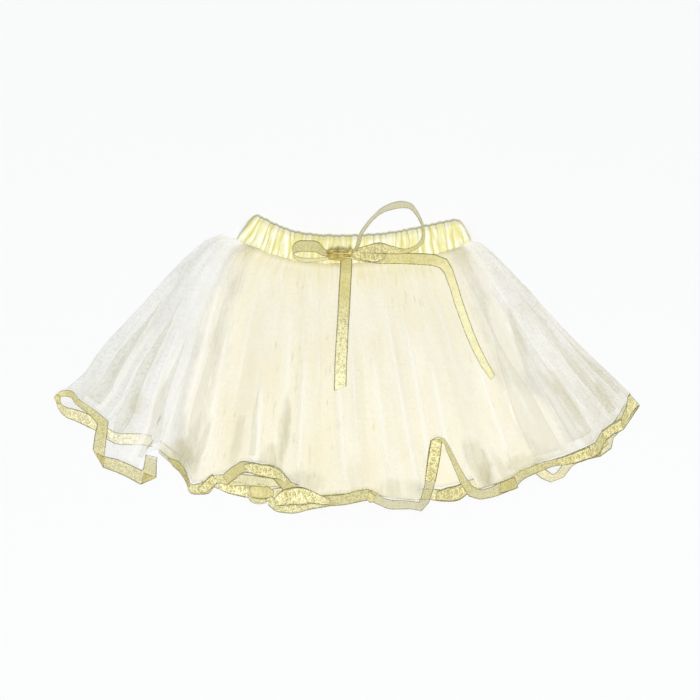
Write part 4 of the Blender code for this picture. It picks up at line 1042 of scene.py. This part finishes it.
def ribbon_island(grid, places, look, seed, thickness, dark_ends=False):
    """A crumpled closed ribbon along a grid of points, dark across its end rows where asked:
    painted shade where a fold turns over, and across the tails' ends.
    """
    across = grid.shape[1]
    normal = unit(np.cross(np.gradient(grid, axis=1), np.gradient(grid, axis=0)))
    for _ in range(NORMAL_ROUNDS):
        normal[1:-1] = normal[:-2] + 2 * normal[1:-1] + normal[2:]
        normal = unit(normal)
    width = float(np.linalg.norm(grid[:, -1] - grid[:, 0], axis=1).mean())
    shares = np.linspace(0.0, 1.0, across)
    rise = np.array([[wavy(place / CRUMPLE_SIZE, share * 1.3, seed)
                      + FINE_CRUMPLE_SHARE * wavy(place / FINE_CRUMPLE_SIZE, share * 4.0, seed + 3)
                      for share in shares] for place in places])
    bent = grid + normal * (rise * look.crumple)[..., None]
    half = normal * thickness / 2
    uv = [[(share * width, place) for share in shares] for place in places]
    full = np.ones(grid.shape[:2])
    edges = full * shares
    if dark_ends:
        edges[0], edges[-1] = 0.0, 0.0
    stops = np.array(look.stops)
    marks = {key: np.interp(places / places[-1], stops[:, 0], stops[:, k])[:, None] * full
             for k, key in enumerate(("shade", "clear", "glitter"), 1)}
    return island(across, bent - half, bent + half, uv, across=edges, **marks)


def lay_on(grid, under, lift):
    """Rests a folded-over stretch on the ribbon below it."""
    below = under.reshape(-1, 3)
    for row in grid:
        for point in row:
            apart = np.hypot(*(below[:, :2] - point[:2]).T)
            point[2] = below[apart < apart.min() + FOLD_REST_REACH, 2].max() + lift
    return grid


def fold_island(fold, under, thickness):
    """A stretch of ribbon folded over onto its own run."""
    grid, places = ribbon_grid([((*row[:2], 0.0), (*row[2:], 0.0)) for row in fold.rows])
    grid = lay_on(grid, under, fold.lift)
    look = RibbonLook(FOLD_CRUMPLE, None, ((0.0, fold.shade, fold.clear, fold.glitter),))
    return ribbon_island(grid, places, look, seed=fold.rows[0][0], thickness=thickness, dark_ends=True)


def hem_pairs(rows, face, lowest):
    """Both edges of a hem ribbon with their heights, row by row."""
    pairs = []
    for row in rows:
        line, share = locate(row.sewn_x, row.sewn_y)
        beside = (max(line - EDGE_SPAN, 0.0), line, min(line + EDGE_SPAN, LAST_LINE))
        cloth = max(face(place, min(share, 1.0)) for place in beside)
        sewn_z = cloth + SHEER_WALL + RIBBON_LIFT
        free_z = max(row.free_z, lowest(row.free_x, row.free_y)) + RIBBON_WALL / 2
        pairs.append(((row.sewn_x, row.sewn_y, sewn_z), (row.free_x, row.free_y, free_z)))
    return pairs


def middle_length(part):
    """How long a ribbon is down its middle, in metres."""
    middle = part["upper"][:, RIBBON_ACROSS // 2] * MM
    return float(np.linalg.norm(np.diff(middle, axis=0), axis=1).sum())


def make_ribbon(node, pairs, sizes, material, rests_on):
    """One stretch of ribbon in the place of its CAD node, with the folds that lie on it."""
    look, thickness = RIBBON_LOOKS[node], sizes.ribbon_thickness
    grid, places = ribbon_grid(pairs, node in SHARP_RUNS)
    main = ribbon_island(grid, places, look, seed=float(len(node)), thickness=thickness,
                         dark_ends="tail" in node)
    islands = [main] + [fold_island(fold, main["upper"], thickness)
                        for fold in RIBBON_FOLDS if fold.run == node]
    length = sum(middle_length(part) for part in islands)
    cloth_piece(node + "_ribbon", islands, material, "gold_ribbon", node, fine=True,
                flat=(RIBBON_WIDTH * MM, length), held="laid", area=look.width * MM * length,
                rests_on=rests_on)
    return grid


def make_hem(name, runs, face, lowest, sizes, colours, rests_on):
    """The ribbon round one hem, and the stitches along its sewn edge."""
    material = ribbon_material(colours)
    routes = []
    nodes = list(runs)
    for node, following in zip(nodes, nodes[1:] + [None]):
        rows = runs[node] + runs[following][:1] if node in JOINED_RUNS else runs[node]
        grid = make_ribbon(node, hem_pairs(rows, face, lowest), sizes, material, rests_on)
        inset = grid[:, 0] * (1 - STITCH_INSET) + grid[:, -1] * STITCH_INSET
        routes.append(inset + (0, 0, sizes.ribbon_thickness))
    make_stitches(name, routes, "gold_ribbon", sizes, colours)


def make_bow(sizes, colours):
    """The bow's loops and tails, and the knot that they go into."""
    material = ribbon_material(colours)
    centre = edge_pairs(BOW_TAIL_CENTRE_TOP) + tail_pairs(BOW_TAIL_CENTRE[:-1] + [TAIL_CUT])
    right = edge_pairs(BOW_TAIL_RIGHT) + tail_pairs(BOW_TAIL_RIGHT_LOW)
    for node, pairs, under in (("bow_loop_left", edge_pairs(BOW_LOOP_LEFT), []),
                               ("bow_loop_right", edge_pairs(BOW_LOOP_RIGHT), []),
                               ("bow_tail_centre", centre, ["sheer_front"]),
                               ("bow_tail_right", right, ["sheer_front"])):
        make_ribbon(node, pairs, sizes, material, ["waistband_satin_front"] + under)
    make_knot(colours)


def make_knot(colours):
    """The ribbon wound round the bow's middle, with its wrinkles and a small tie beside it."""
    shape = bmesh.new()
    for centre, size, turns in ((KNOT_CENTRE, KNOT_SIZE, 5), (TIE_CENTRE, TIE_SIZE, 3)):
        made = bmesh.ops.create_uvsphere(shape, u_segments=64, v_segments=40, radius=1.0)
        middle, half = to_mm(centre), np.array(size) / 2
        for vertex in made["verts"]:
            x, y, z = vertex.co.z, vertex.co.x, vertex.co.y
            turn = np.arctan2(z, y)
            wrap = 1 + WRAP_DEPTH * sin(turns * turn + 2.6 * x + 1.5 * wavy(x * 2.0, turn, 4.0))
            wrap += LUMP_DEPTH * wavy(x * 3.0, y * 3.0, z * 3.0)
            full = (1 - abs(x) ** 3.0) ** 0.15 if abs(x) < 1 else 0.0
            radius = (KNOT_END + (1 - KNOT_END) * full) * wrap
            vertex.co = Vector(middle + np.array((x, y * radius, z * radius)) * half) * MM
    bmesh.ops.recalc_face_normals(shape, faces=shape.faces)
    for face in shape.faces:
        face.smooth = True
    mesh = bpy.data.meshes.new("bow_knot_ribbon")
    shape.to_mesh(mesh)
    shape.free()
    mesh.materials.append(knot_material(colours))
    settle(linked("bow_knot_ribbon", mesh), "gold_ribbon", "bow_knot")


def make_stitches(name, routes, slot, sizes, colours):
    """Running stitches along routes, by Geometry Nodes, made into a plain mesh."""
    points, edges = [], []
    for route in routes:
        first = len(points)
        points.extend((np.array(route) * MM).tolist())
        edges.extend((i, i + 1) for i in range(first, len(points) - 1))
    mesh = bpy.data.meshes.new(name)
    mesh.from_pydata(points, edges, [])
    piece = linked(name, mesh)
    tree = stitch_tree()
    modifier = piece.modifiers.new("stitches", "NODES")
    modifier.node_group = tree
    values = {"Pitch": sizes.stitch_pitch * MM, "Length": sizes.stitch_length * MM,
              "Radius": sizes.thread_radius * MM, "Material": thread_material(colours)}
    for item in tree.interface.items_tree:
        if item.in_out == "INPUT" and item.name in values:
            modifier[item.identifier] = values[item.name]
    graph = bpy.context.evaluated_depsgraph_get()
    plain = bpy.data.meshes.new_from_object(piece.evaluated_get(graph))
    piece.modifiers.remove(modifier)
    piece.data = plain
    if not plain.polygons:
        raise RuntimeError("no stitches were made for " + name)
    settle(piece, slot)


def put(tree, kind, inputs=None, **settings):
    """A node with its settings; an input is a value or the socket that feeds it."""
    node = tree.nodes.new(kind)
    for key, value in settings.items():
        setattr(node, key, value)
    for key, value in (inputs or {}).items():
        if isinstance(value, bpy.types.NodeSocket):
            tree.links.new(value, node.inputs[key])
        else:
            node.inputs[key].default_value = value
    return node


class Nodes:
    """A shader tree, with short calls for the nodes that the finishes are built from."""

    def __init__(self, tree):
        self.tree = tree

    def put(self, kind, inputs=None, **settings):
        return put(self.tree, kind, inputs, **settings)

    def math(self, operation, *values):
        return self.put("ShaderNodeMath", dict(enumerate(values)), operation=operation).outputs[0]

    def scaled(self, value, by, plus=None):
        """A value times another, plus a third where one is given."""
        if plus is None:
            return self.math("MULTIPLY", value, by)
        return self.math("MULTIPLY_ADD", value, by, plus)

    def ramp(self, value, low, high, to_low=0.0, to_high=1.0):
        """A value between two limits, turned softly into another range."""
        inputs = {0: value, 1: low, 2: high, 3: to_low, 4: to_high}
        return self.put("ShaderNodeMapRange", inputs, interpolation_type="SMOOTHSTEP").outputs[0]

    def mix(self, factor, *colours):
        """One colour turned into another; a colour is a property or a socket."""
        first, second = (c if isinstance(c, bpy.types.NodeSocket) else (*c, 1) for c in colours)
        node = self.put("ShaderNodeMix", {0: factor, 6: first, 7: second}, data_type="RGBA")
        return node.outputs[2]

    def over(self, base, *layers):
        """Colours laid over a base one after another, each as far as its cover says."""
        for cover, colour in layers:
            base = self.mix(cover, base, colour)
        return base

    def noise(self, place, scale, detail=2.0, roughness=0.5, distortion=0.0):
        inputs = {"Vector": place, "Scale": scale, "Detail": detail, "Roughness": roughness,
                  "Distortion": distortion}
        return self.put("ShaderNodeTexNoise", inputs).outputs["Fac"]

    def cells(self, inputs, **settings):
        return self.put("ShaderNodeTexVoronoi", inputs, voronoi_dimensions="2D", **settings).outputs

    def parts(self, vector):
        return self.put("ShaderNodeSeparateXYZ", {0: vector}).outputs

    def vector(self, *values):
        return self.put("ShaderNodeCombineXYZ", dict(enumerate(values))).outputs[0]

    def mark(self, name):
        """A value that the mesh carries on its points."""
        return self.put("ShaderNodeAttribute", attribute_name=name).outputs["Fac"]

    def group(self, name, **inputs):
        """The outputs of one of the shared node groups, which is made at its first use."""
        shared = group_of(name, *NODE_GROUPS[name])
        return self.put("ShaderNodeGroup", inputs, node_tree=shared).outputs


class Finish(Nodes):
    """A material: its Principled shader, with constants on its own sockets, and its coordinates."""

    def __init__(self, name, roughness, **constants):
        self.material = bpy.data.materials.new(name)
        self.material.use_nodes = True
        super().__init__(self.material.node_tree)
        self.shader = self.tree.nodes["Principled BSDF"].inputs
        coordinates = self.tree.nodes.new("ShaderNodeTexCoord").outputs
        self.uv, self.spot = coordinates["UV"], coordinates["Object"]
        for key, value in {"Roughness": roughness, **constants}.items():
            self.shader[key.replace("_", " ")].default_value = value

    def feed(self, **sockets):
        for key, socket in sockets.items():
            self.tree.links.new(socket, self.shader[key.replace("_", " ")])

    def bump(self, strength, distance, height):
        inputs = {"Strength": strength, "Distance": distance, "Height": height}
        self.feed(Normal=self.put("ShaderNodeBump", inputs).outputs[0])

    def streaks(self, count, drift, seed):
        """Soft streaks that fan out from the waist with the folds."""
        return self.group("fan_streaks", Place=self.uv, Streaks=count, Drift=drift, Seed=seed)[0]

    def threads(self, holes):
        """The threads between the small holes of tulle and net."""
        return self.group("net_mesh", Place=self.spot, Holes=holes)[0]


def group_of(name, inputs, outputs, build):
    """A shader node group with named sockets, made once: Place is a vector, the rest numbers."""
    if name in bpy.data.node_groups:
        return bpy.data.node_groups[name]
    tree = bpy.data.node_groups.new(name, "ShaderNodeTree")
    tree.interface.new_socket("Place", in_out="INPUT", socket_type="NodeSocketVector")
    for label, default in inputs.items():
        socket = tree.interface.new_socket(label, in_out="INPUT", socket_type="NodeSocketFloat")
        socket.default_value = default
    for label in outputs:
        tree.interface.new_socket(label, in_out="OUTPUT", socket_type="NodeSocketFloat")
    results = build(Nodes(tree), tree.nodes.new("NodeGroupInput").outputs)
    put(tree, "NodeGroupOutput", dict(zip(outputs, results)))
    return tree


def build_streaks(nodes, source):
    across, along, _ = nodes.parts(source["Place"])
    spot = nodes.vector(nodes.scaled(across, source["Streaks"]),
                        nodes.scaled(along, source["Drift"]), source["Seed"])
    return [nodes.ramp(nodes.noise(spot, 1.0, 3.0, 0.6), 0.28, 0.72)]


def build_mesh(nodes, source):
    cells = nodes.cells({"Vector": source["Place"], "Scale": source["Holes"], "Randomness": 0.25},
                        feature="DISTANCE_TO_EDGE")
    return [nodes.ramp(cells["Distance"], 0.06, 0.22, 1.0, 0.0)]


def build_glitter(nodes, source):
    """The metallic yarns that catch the light here and there in the open weave."""
    cells = nodes.cells({"Vector": source["Place"], "Scale": source["Size"]})
    first, second, _ = nodes.parts(cells["Color"])
    cloud = nodes.noise(source["Place"], 0.11)
    level = nodes.math("ADD", first, nodes.scaled(cloud, 1.1, -0.55))
    return [nodes.ramp(level, 0.40, 0.66), nodes.ramp(level, 0.36, 0.14), second]


NODE_GROUPS = {
    "fan_streaks": ({"Streaks": 60.0, "Drift": 1.5, "Seed": 0.0}, ["Streak"], build_streaks),
    "net_mesh": ({"Holes": 900.0}, ["Thread"], build_mesh),
    "ribbon_glitter": ({"Size": 1.1}, ["Bright", "Dark", "Rise"], build_glitter),
}


def tulle_material(colours):
    """Fine see-through tulle: each ply veils what is under it a little, more on its creases."""
    it = Finish("fine_tulle", 0.85, Sheen_Weight=0.1)
    streak, thread = it.streaks(34.0, 3.0, 1.0), it.threads(850.0)
    cloud, speckle = it.noise(it.spot, 90.0, 4.0, 0.7), it.noise(it.spot, 320.0)
    place, down, _ = it.parts(it.uv)
    left = it.ramp(place, NET_LEFT, NET_LEFT - 0.06)
    right = it.ramp(place, NET_RIGHT - 0.01, NET_RIGHT + 0.05)
    crest, folded, ruffled = it.mark("crest"), it.mark("folded"), it.mark("ruffled")
    # Where tulle lies bunched its veil is thicker, and its darker colour there is painted shade.
    bunched = it.scaled(it.mark("bunched"), it.scaled(streak, -0.5, 1.0))
    it.feed(Base_Color=it.over(
        it.mix(streak, colours.tulle_shade, colours.tulle),
        (left, it.mix(streak, colours.tulle_side_shade, colours.tulle_side)),
        (right, it.mix(streak, colours.tulle_right_shade, colours.tulle_right)),
        (it.ramp(down, 0.10, 0.0, 0.0, 0.6), colours.net_gathered),
        (ruffled, colours.net),
        # Painted highlight on the crests of the creases.
        (it.scaled(crest, 0.7), colours.tulle_crest_highlight),
        (it.scaled(folded, 0.75), colours.tulle_folded),
        (bunched, colours.tulle_bunched_shade)))
    grain = it.scaled(it.ramp(speckle, 0.52, 0.64), it.math("MAXIMUM", left, right))
    veil = it.scaled(streak, -0.05, 0.12)
    for part, strength in ((ruffled, 0.40), (bunched, 0.34), (thread, 0.03),
                           (it.ramp(cloud, 0.45, 0.7), 0.05), (grain, 0.05), (crest, 0.26),
                           (folded, 0.07)):
        veil = it.scaled(part, strength, veil)
    it.feed(Alpha=it.scaled(veil, it.ramp(down, 0.0, 0.07, 0.4, 1.0)))
    return it.material


def net_material(colours, layer):
    """Soft cream net, cloudy, with painted shade in a few tucks, thinning out raggedly to its
    edges.
    """
    it = Finish("soft_net_ply_%d" % layer, 0.95, Sheen_Weight=0.1)
    streak, tuck = it.streaks(26.0, 4.0, 3.0 + layer), it.streaks(80.0, 8.0, 13.0 + layer)
    broad, thread = it.streaks(9.0, 1.4, 23.0 + layer), it.threads(620.0)
    cloud = it.noise(it.spot, 22.0, 5.0, 0.6)
    across, down, _ = it.parts(it.uv)
    side = it.math("MINIMUM", across, it.math("SUBTRACT", 1.0, across))
    soft = it.scaled(streak, 0.35, it.ramp(cloud, 0.35, 0.65, 0.0, 0.25))
    soft = it.scaled(broad, 0.4, soft)
    # Painted shade in a few tucks.
    tuck_shade = it.scaled(it.ramp(tuck, 0.20, 0.02), it.ramp(cloud, 0.54, 0.46))
    gathered = it.scaled(it.ramp(down, 0.15, 0.0), it.ramp(tuck, 0.75, 0.2))
    it.feed(Base_Color=it.over(
        it.mix(soft, colours.net_shade, colours.net),
        (it.scaled(tuck_shade, 0.75), colours.net_tuck_shade),
        # Painted light at the plies' side edges, against the shade of their slope.
        (it.ramp(side, 0.13, 0.02, 0.0, 0.9), colours.net_edge_painted_light),
        (it.scaled(gathered, 0.8), colours.net_gathered)))
    ragged = it.scaled(cloud, -0.07, it.scaled(tuck, -0.02))
    edge = it.math("POWER", it.ramp(it.math("ADD", side, ragged), -0.09, 0.06), 3.0)
    hem = it.ramp(it.math("SUBTRACT", down, ragged), 1.09, 1.05)
    it.feed(Alpha=it.scaled(it.scaled(edge, hem), it.scaled(thread, 0.04, 0.95)))
    it.bump(0.15, 0.0004, thread)
    return it.material


def satin_material(colours):
    """Pale yellow satin: white in the light, yellow beside that, olive in its troughs."""
    it = Finish("pale_satin", 0.36, Sheen_Weight=0.15)
    crest = it.ramp(it.mark("crest"), 0.02, 0.42)
    along, across, _ = it.parts(it.uv)
    stripes = it.noise(it.vector(it.scaled(along, 0.24), it.scaled(across, 1.1)), 1.0, 3.0, 0.6)
    # Near the bow the satin is painted in shade: more of its colour out of the light and less
    # highlight.
    from_bow = it.math("ABSOLUTE", it.math("SUBTRACT", along, BOW_ON_BAND))
    drawn = it.ramp(from_bow, 46.0, 12.0)
    gleam = it.scaled(it.ramp(stripes, 0.46, 0.56, 0.0, 0.98), crest)
    gleam = it.scaled(gleam, it.scaled(drawn, -0.45, 1.0))
    # A dark line along the turned top edge: mostly painted shadow of the gap there.
    top_edge_shadow = it.scaled(it.ramp(across, BAND_EDGE_SHADOW, BAND_EDGE_SHADOW / 3),
                       it.ramp(across, 0.0, BAND_EDGE_SHADOW / 5))
    it.feed(Base_Color=it.over(
        it.mix(crest, colours.satin_shade, colours.satin),
        (it.ramp(stripes, 0.46, 0.36, 0.0, 0.75), colours.satin_deep),
        (it.scaled(drawn, 0.5), colours.satin_deep),
        (gleam, colours.satin_gleam),
        (it.scaled(top_edge_shadow, 0.8), colours.satin_edge_shadow)))
    it.bump(0.2, 0.0003, it.noise(it.spot, 900.0))
    return it.material


def ribbon_material(colours):
    """Open-weave metallic ribbon with dark firm edges."""
    if "metal_yarn_ribbon" in bpy.data.materials:
        return bpy.data.materials["metal_yarn_ribbon"]
    it = Finish("metal_yarn_ribbon", 0.45)
    glitter = it.group("ribbon_glitter", Place=it.uv, Size=0.85)
    shade, clear, strength, across = (it.mark(m) for m in ("shade", "clear", "glitter", "across"))
    side = it.math("MINIMUM", across, it.math("SUBTRACT", 1.0, across))
    worn = it.ramp(it.noise(it.uv, 0.6), 0.35, 0.6, 0.4, 1.0)
    firm = it.scaled(it.scaled(it.ramp(side, 0.105, 0.045), worn), it.scaled(clear, -0.4, 1.0))
    it.feed(Base_Color=it.over(
        it.mix(it.ramp(shade, 0.0, 1.0), colours.ribbon, colours.ribbon_shade),
        (it.ramp(shade, 0.0, -1.0), colours.ribbon_gleam),
        (it.scaled(clear, 0.6), colours.ribbon_open),
        (it.scaled(glitter["Dark"], it.scaled(strength, 0.55, 0.1)), colours.ribbon_shade),
        (it.scaled(glitter["Bright"], strength), colours.ribbon_gleam),
        (firm, colours.ribbon_edge)))
    hole = it.scaled(clear, it.math("SUBTRACT", 1.0, firm))
    hole = it.scaled(hole, it.scaled(glitter["Bright"], -0.6, 1.0))
    it.feed(Metallic=it.scaled(glitter["Bright"], 0.12), Alpha=it.scaled(hole, -0.8, 0.95))
    it.bump(0.35, 0.0004, glitter["Rise"])
    return it.material


def knot_material(colours):
    """The same ribbon pulled tight: dark, with fine wrinkles along it."""
    it = Finish("knot_ribbon", 0.5)
    drawn = it.put("ShaderNodeMapping", {"Vector": it.spot, "Scale": (130.0, 700.0, 700.0)})
    wrinkle = it.noise(drawn.outputs[0], 1.0, 3.0, distortion=0.6)
    it.feed(Base_Color=it.over(
        it.mix(it.ramp(wrinkle, 0.50, 0.40), colours.knot, colours.knot_shade),
        (it.ramp(wrinkle, 0.56, 0.68, 0.0, 0.6), colours.ribbon_gleam)))
    it.bump(0.5, 0.0006, wrinkle)
    return it.material


def thread_material(colours):
    """Twisted sewing thread."""
    if "sewing_thread" in bpy.data.materials:
        return bpy.data.materials["sewing_thread"]
    it = Finish("sewing_thread", 0.6)
    it.feed(Base_Color=it.mix(it.noise(it.spot, 3000.0), colours.thread_shade, colours.thread))
    return it.material


def stitch_tree():
    """Geometry Nodes that lay short stitches along a line."""
    if "running_stitches" in bpy.data.node_groups:
        return bpy.data.node_groups["running_stitches"]
    tree = bpy.data.node_groups.new("running_stitches", "GeometryNodeTree")
    for label, side, kind, default in (
            ("Geometry", "INPUT", "Geometry", None), ("Pitch", "INPUT", "Float", 0.003),
            ("Length", "INPUT", "Float", 0.0018), ("Radius", "INPUT", "Float", 0.00018),
            ("Material", "INPUT", "Material", None), ("Geometry", "OUTPUT", "Geometry", None)):
        socket = tree.interface.new_socket(label, in_out=side, socket_type="NodeSocket" + kind)
        if default:
            socket.default_value = default
    source = tree.nodes.new("NodeGroupInput").outputs
    line = put(tree, "GeometryNodeMeshToCurve", {"Mesh": source["Geometry"]})
    spots = put(tree, "GeometryNodeCurveToPoints",
                {"Curve": line.outputs[0], "Length": source["Pitch"]}, mode="LENGTH").outputs
    stitch = put(tree, "GeometryNodeMeshCylinder", {
        "Vertices": 6, "Radius": source["Radius"], "Depth": source["Length"]})
    uneven = put(tree, "FunctionNodeRandomValue", {2: 0.8, 3: 1.15, 8: 11}, data_type="FLOAT")
    laid = put(tree, "GeometryNodeInstanceOnPoints", {
        "Points": spots["Points"], "Instance": stitch.outputs["Mesh"],
        "Rotation": spots["Rotation"], "Scale": uneven.outputs[1]})
    whole = put(tree, "GeometryNodeRealizeInstances", {0: laid.outputs[0]})
    coloured = put(tree, "GeometryNodeSetMaterial", {
        "Geometry": whole.outputs[0], "Material": source["Material"]})
    put(tree, "NodeGroupOutput", {0: coloured.outputs[0]})
    return tree


def make_stage(stage):
    """A pale floor, soft studio light from the hem side and a camera straight above."""
    bpy.ops.mesh.primitive_plane_add(size=stage.floor_size)
    floor = bpy.context.object
    floor.name = "floor"
    it = Finish("pale_floor", 0.9, Specular_IOR_Level=0.1)
    it.feed(Base_Color=it.mix(it.noise(it.spot, 3.0), *FLOOR_COLOURS))
    floor.data.materials.append(it.material)
    floor.location.z = -FLOOR_GAP
    scene = bpy.context.scene
    scene.world = bpy.data.worlds.new("studio")
    scene.world.use_nodes = True
    sky = scene.world.node_tree.nodes["Background"].inputs
    sky["Color"].default_value = (1.0, 1.0, 1.0, 1.0)
    sky["Strength"].default_value = stage.sky
    for name, place, size, power in (("hem_side_softbox", (0.4, -2.4, 7.0), 2.5, stage.key),
                                     ("waist_side_softbox", (-0.8, 1.8, 2.2), 2.0, stage.fill)):
        lamp = bpy.data.lights.new(name, "AREA")
        lamp.energy, lamp.size = power, size
        light = linked(name, lamp)
        light.location = place
        light.rotation_euler = (-Vector(place)).to_track_quat("-Z", "Y").to_euler()
    lens = bpy.data.cameras.new("overhead")
    lens.sensor_width = SENSOR
    lens.lens = SENSOR * CAMERA_HEIGHT / VIEW_WIDTH
    scene.camera = linked("overhead", lens)
    scene.camera.location = (*(to_mm((*VIEW_CENTRE, 0.0)) * MM)[:2], CAMERA_HEIGHT)
    scene.view_settings.view_transform = "Standard"
    scene.cycles.transparent_max_bounces = LIGHT_BOUNCES


def number(name, description, default, **limits):
    return bpy.props.FloatProperty(name=name, description=description, default=default, **limits)


def colour(name, *default):
    return bpy.props.FloatVectorProperty(name=name, description="Colour of the " + name.lower(),
                                         subtype="COLOR", size=3, min=0.0, max=1.0, default=default)


class TutuSizes(bpy.types.PropertyGroup):
    """Sizes that a user may change, in millimetres unless said otherwise."""

    ruche_depth: number("Ruche depth", "Height of the waistband's ruches, mm", 1.9, min=0.0)
    crease_depth: number("Crease depth", "Strength of the creases of the sheer front", 1.0,
                         subtype="FACTOR", min=0.0, max=2.0)
    pleat_depth: number("Pleat depth", "Height of the fine pleats of the net, mm", 0.34, min=0.0)
    ribbon_thickness: number("Ribbon thickness", "Thickness of the ribbon, mm", 0.34, min=0.1)
    stitch_pitch: number("Stitch pitch", "From one stitch to the next, mm", 3.2, min=0.5)
    stitch_length: number("Stitch length", "Length of a stitch, mm", 2.0, min=0.2)
    thread_radius: number("Thread radius", "Radius of the sewing thread, mm", 0.16, min=0.05)


class TutuColours(bpy.types.PropertyGroup):
    """The colours of the cloths."""

    tulle: colour("Tulle", 0.86, 0.84, 0.72)
    tulle_shade: colour("Tulle in its folds", 0.76, 0.73, 0.58)
    tulle_side: colour("Tulle beside the net", 0.74, 0.74, 0.66)
    tulle_side_shade: colour("Tulle beside the net in its folds", 0.54, 0.53, 0.42)
    tulle_right: colour("Tulle on the right", 0.76, 0.72, 0.52)
    tulle_right_shade: colour("Tulle on the right in its folds", 0.56, 0.52, 0.32)
    # Painted highlight on the tulle's creases.
    tulle_crest_highlight: colour("Tulle on its creases", 1.0, 0.99, 0.92)
    # Painted shade over the bunched tulle.
    tulle_bunched_shade: colour("Tulle where it is bunched", 0.50, 0.46, 0.25)
    tulle_folded: colour("Tulle folded over", 0.62, 0.60, 0.44)
    net: colour("Net", 1.0, 0.965, 0.81)
    net_shade: colour("Net between its pleats", 0.95, 0.87, 0.62)
    # Painted shade in the net's tucks.
    net_tuck_shade: colour("Net in its tucks", 0.78, 0.72, 0.44)
    # Painted lighter, against the shade where the plies slope down at their sides.
    net_edge_painted_light: colour("Net at its side edges", 1.0, 0.985, 0.89)
    net_gathered: colour("Net in the gathers of the waist", 0.93, 0.85, 0.48)
    satin: colour("Satin", 0.95, 0.91, 0.47)
    satin_shade: colour("Satin in its troughs", 0.66, 0.60, 0.18)
    satin_deep: colour("Satin out of the light", 0.86, 0.79, 0.28)
    satin_gleam: colour("Satin in the light", 1.0, 1.0, 0.84)
    # Mostly painted shadow along the turned top edge.
    satin_edge_shadow: colour("Satin along its turned edge", 0.36, 0.33, 0.17)
    ribbon: colour("Ribbon", 0.72, 0.64, 0.25)
    ribbon_open: colour("Ribbon where its weave is open", 0.50, 0.49, 0.31)
    ribbon_gleam: colour("Ribbon yarns in the light", 1.0, 0.95, 0.57)
    ribbon_shade: colour("Ribbon in its folds", 0.40, 0.345, 0.11)
    ribbon_edge: colour("Ribbon edge", 0.17, 0.15, 0.045)
    knot: colour("Knot", 0.56, 0.45, 0.10)
    knot_shade: colour("Knot between its wrinkles", 0.25, 0.185, 0.035)
    thread: colour("Thread", 0.86, 0.82, 0.66)
    thread_shade: colour("Thread in its twist", 0.60, 0.55, 0.38)


class TutuStage(bpy.types.PropertyGroup):
    """The floor and the light."""

    floor_size: number("Floor size", "Side of the square floor", 30.0, unit="LENGTH")
    sky: number("Sky", "Strength of the even light", 0.48)
    key: number("Hem side light", "Power of the softbox on the hem side, W", 312.0)
    fill: number("Waist side light", "Power of the softbox on the waist side, W", 5.0)


class SheerPanelsOperator(bpy.types.Operator):
    """Make the sheer front and back of the skirt"""

    bl_idname = "tutu.sheer_panels"
    bl_label = "Sheer Panels"

    def execute(self, context):
        make_sheer_panels(context.scene.tutu_sizes, context.scene.tutu_colours)
        return {"FINISHED"}


class NetPliesOperator(bpy.types.Operator):
    """Make the gathered net plies of the underskirt"""

    bl_idname = "tutu.net_plies"
    bl_label = "Net Plies"

    def execute(self, context):
        make_net_plies(context.scene.tutu_sizes, context.scene.tutu_colours)
        return {"FINISHED"}


class WaistbandOperator(bpy.types.Operator):
    """Make the ruched satin waistband"""

    bl_idname = "tutu.waistband"
    bl_label = "Waistband"

    def execute(self, context):
        make_waistband(context.scene.tutu_sizes, context.scene.tutu_colours)
        return {"FINISHED"}


class BackRibbonOperator(bpy.types.Operator):
    """Make the ribbon round the back's hem"""

    bl_idname = "tutu.back_ribbon"
    bl_label = "Back Hem Ribbon"

    def execute(self, context):
        make_hem("back_hem_stitches", BACK_HEM, back_face, lambda x, y: 0.0,
                 context.scene.tutu_sizes, context.scene.tutu_colours, ["floor"])
        return {"FINISHED"}


class FrontRibbonOperator(bpy.types.Operator):
    """Make the ribbon round the front's hem"""

    bl_idname = "tutu.front_ribbon"
    bl_label = "Front Hem Ribbon"

    def execute(self, context):
        make_hem("front_hem_stitches", FRONT_HEM, front_face, above_both,
                 context.scene.tutu_sizes, context.scene.tutu_colours, ["sheer_front"])
        return {"FINISHED"}


class BowOperator(bpy.types.Operator):
    """Make the ribbon bow"""

    bl_idname = "tutu.bow"
    bl_label = "Bow"

    def execute(self, context):
        make_bow(context.scene.tutu_sizes, context.scene.tutu_colours)
        return {"FINISHED"}


class StageOperator(bpy.types.Operator):
    """Make the floor, the light and the camera"""

    bl_idname = "tutu.stage"
    bl_label = "Stage"

    def execute(self, context):
        make_stage(context.scene.tutu_stage)
        return {"FINISHED"}


GROUPS = {"tutu_sizes": TutuSizes, "tutu_colours": TutuColours, "tutu_stage": TutuStage}
OPERATORS = (StageOperator, SheerPanelsOperator, NetPliesOperator, WaistbandOperator,
             BackRibbonOperator, FrontRibbonOperator, BowOperator)


class TutuPanel(bpy.types.Panel):
    """The tutu's pieces, sizes and colours"""

    bl_idname = "VIEW3D_PT_tutu"
    bl_label = "Laid-out Tutu"
    bl_space_type = "VIEW_3D"
    bl_region_type = "UI"
    bl_category = "Tutu"

    def draw(self, context):
        for operator in OPERATORS:
            self.layout.operator(operator.bl_idname)
        for name in GROUPS:
            group = getattr(context.scene, name)
            for key in group.__annotations__:
                self.layout.prop(group, key)


def register():
    for kind in (*GROUPS.values(), *OPERATORS, TutuPanel):
        bpy.utils.register_class(kind)
    for name, kind in GROUPS.items():
        setattr(bpy.types.Scene, name, bpy.props.PointerProperty(type=kind))


def unregister():
    for name in GROUPS:
        delattr(bpy.types.Scene, name)
    for kind in reversed((*GROUPS.values(), *OPERATORS, TutuPanel)):
        bpy.utils.unregister_class(kind)


def main():
    register()
    for make in (bpy.ops.tutu.stage, bpy.ops.tutu.sheer_panels, bpy.ops.tutu.net_plies,
                 bpy.ops.tutu.waistband, bpy.ops.tutu.back_ribbon, bpy.ops.tutu.front_ribbon,
                 bpy.ops.tutu.bow):
        make()
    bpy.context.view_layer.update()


if __name__ == "__main__":
    main()
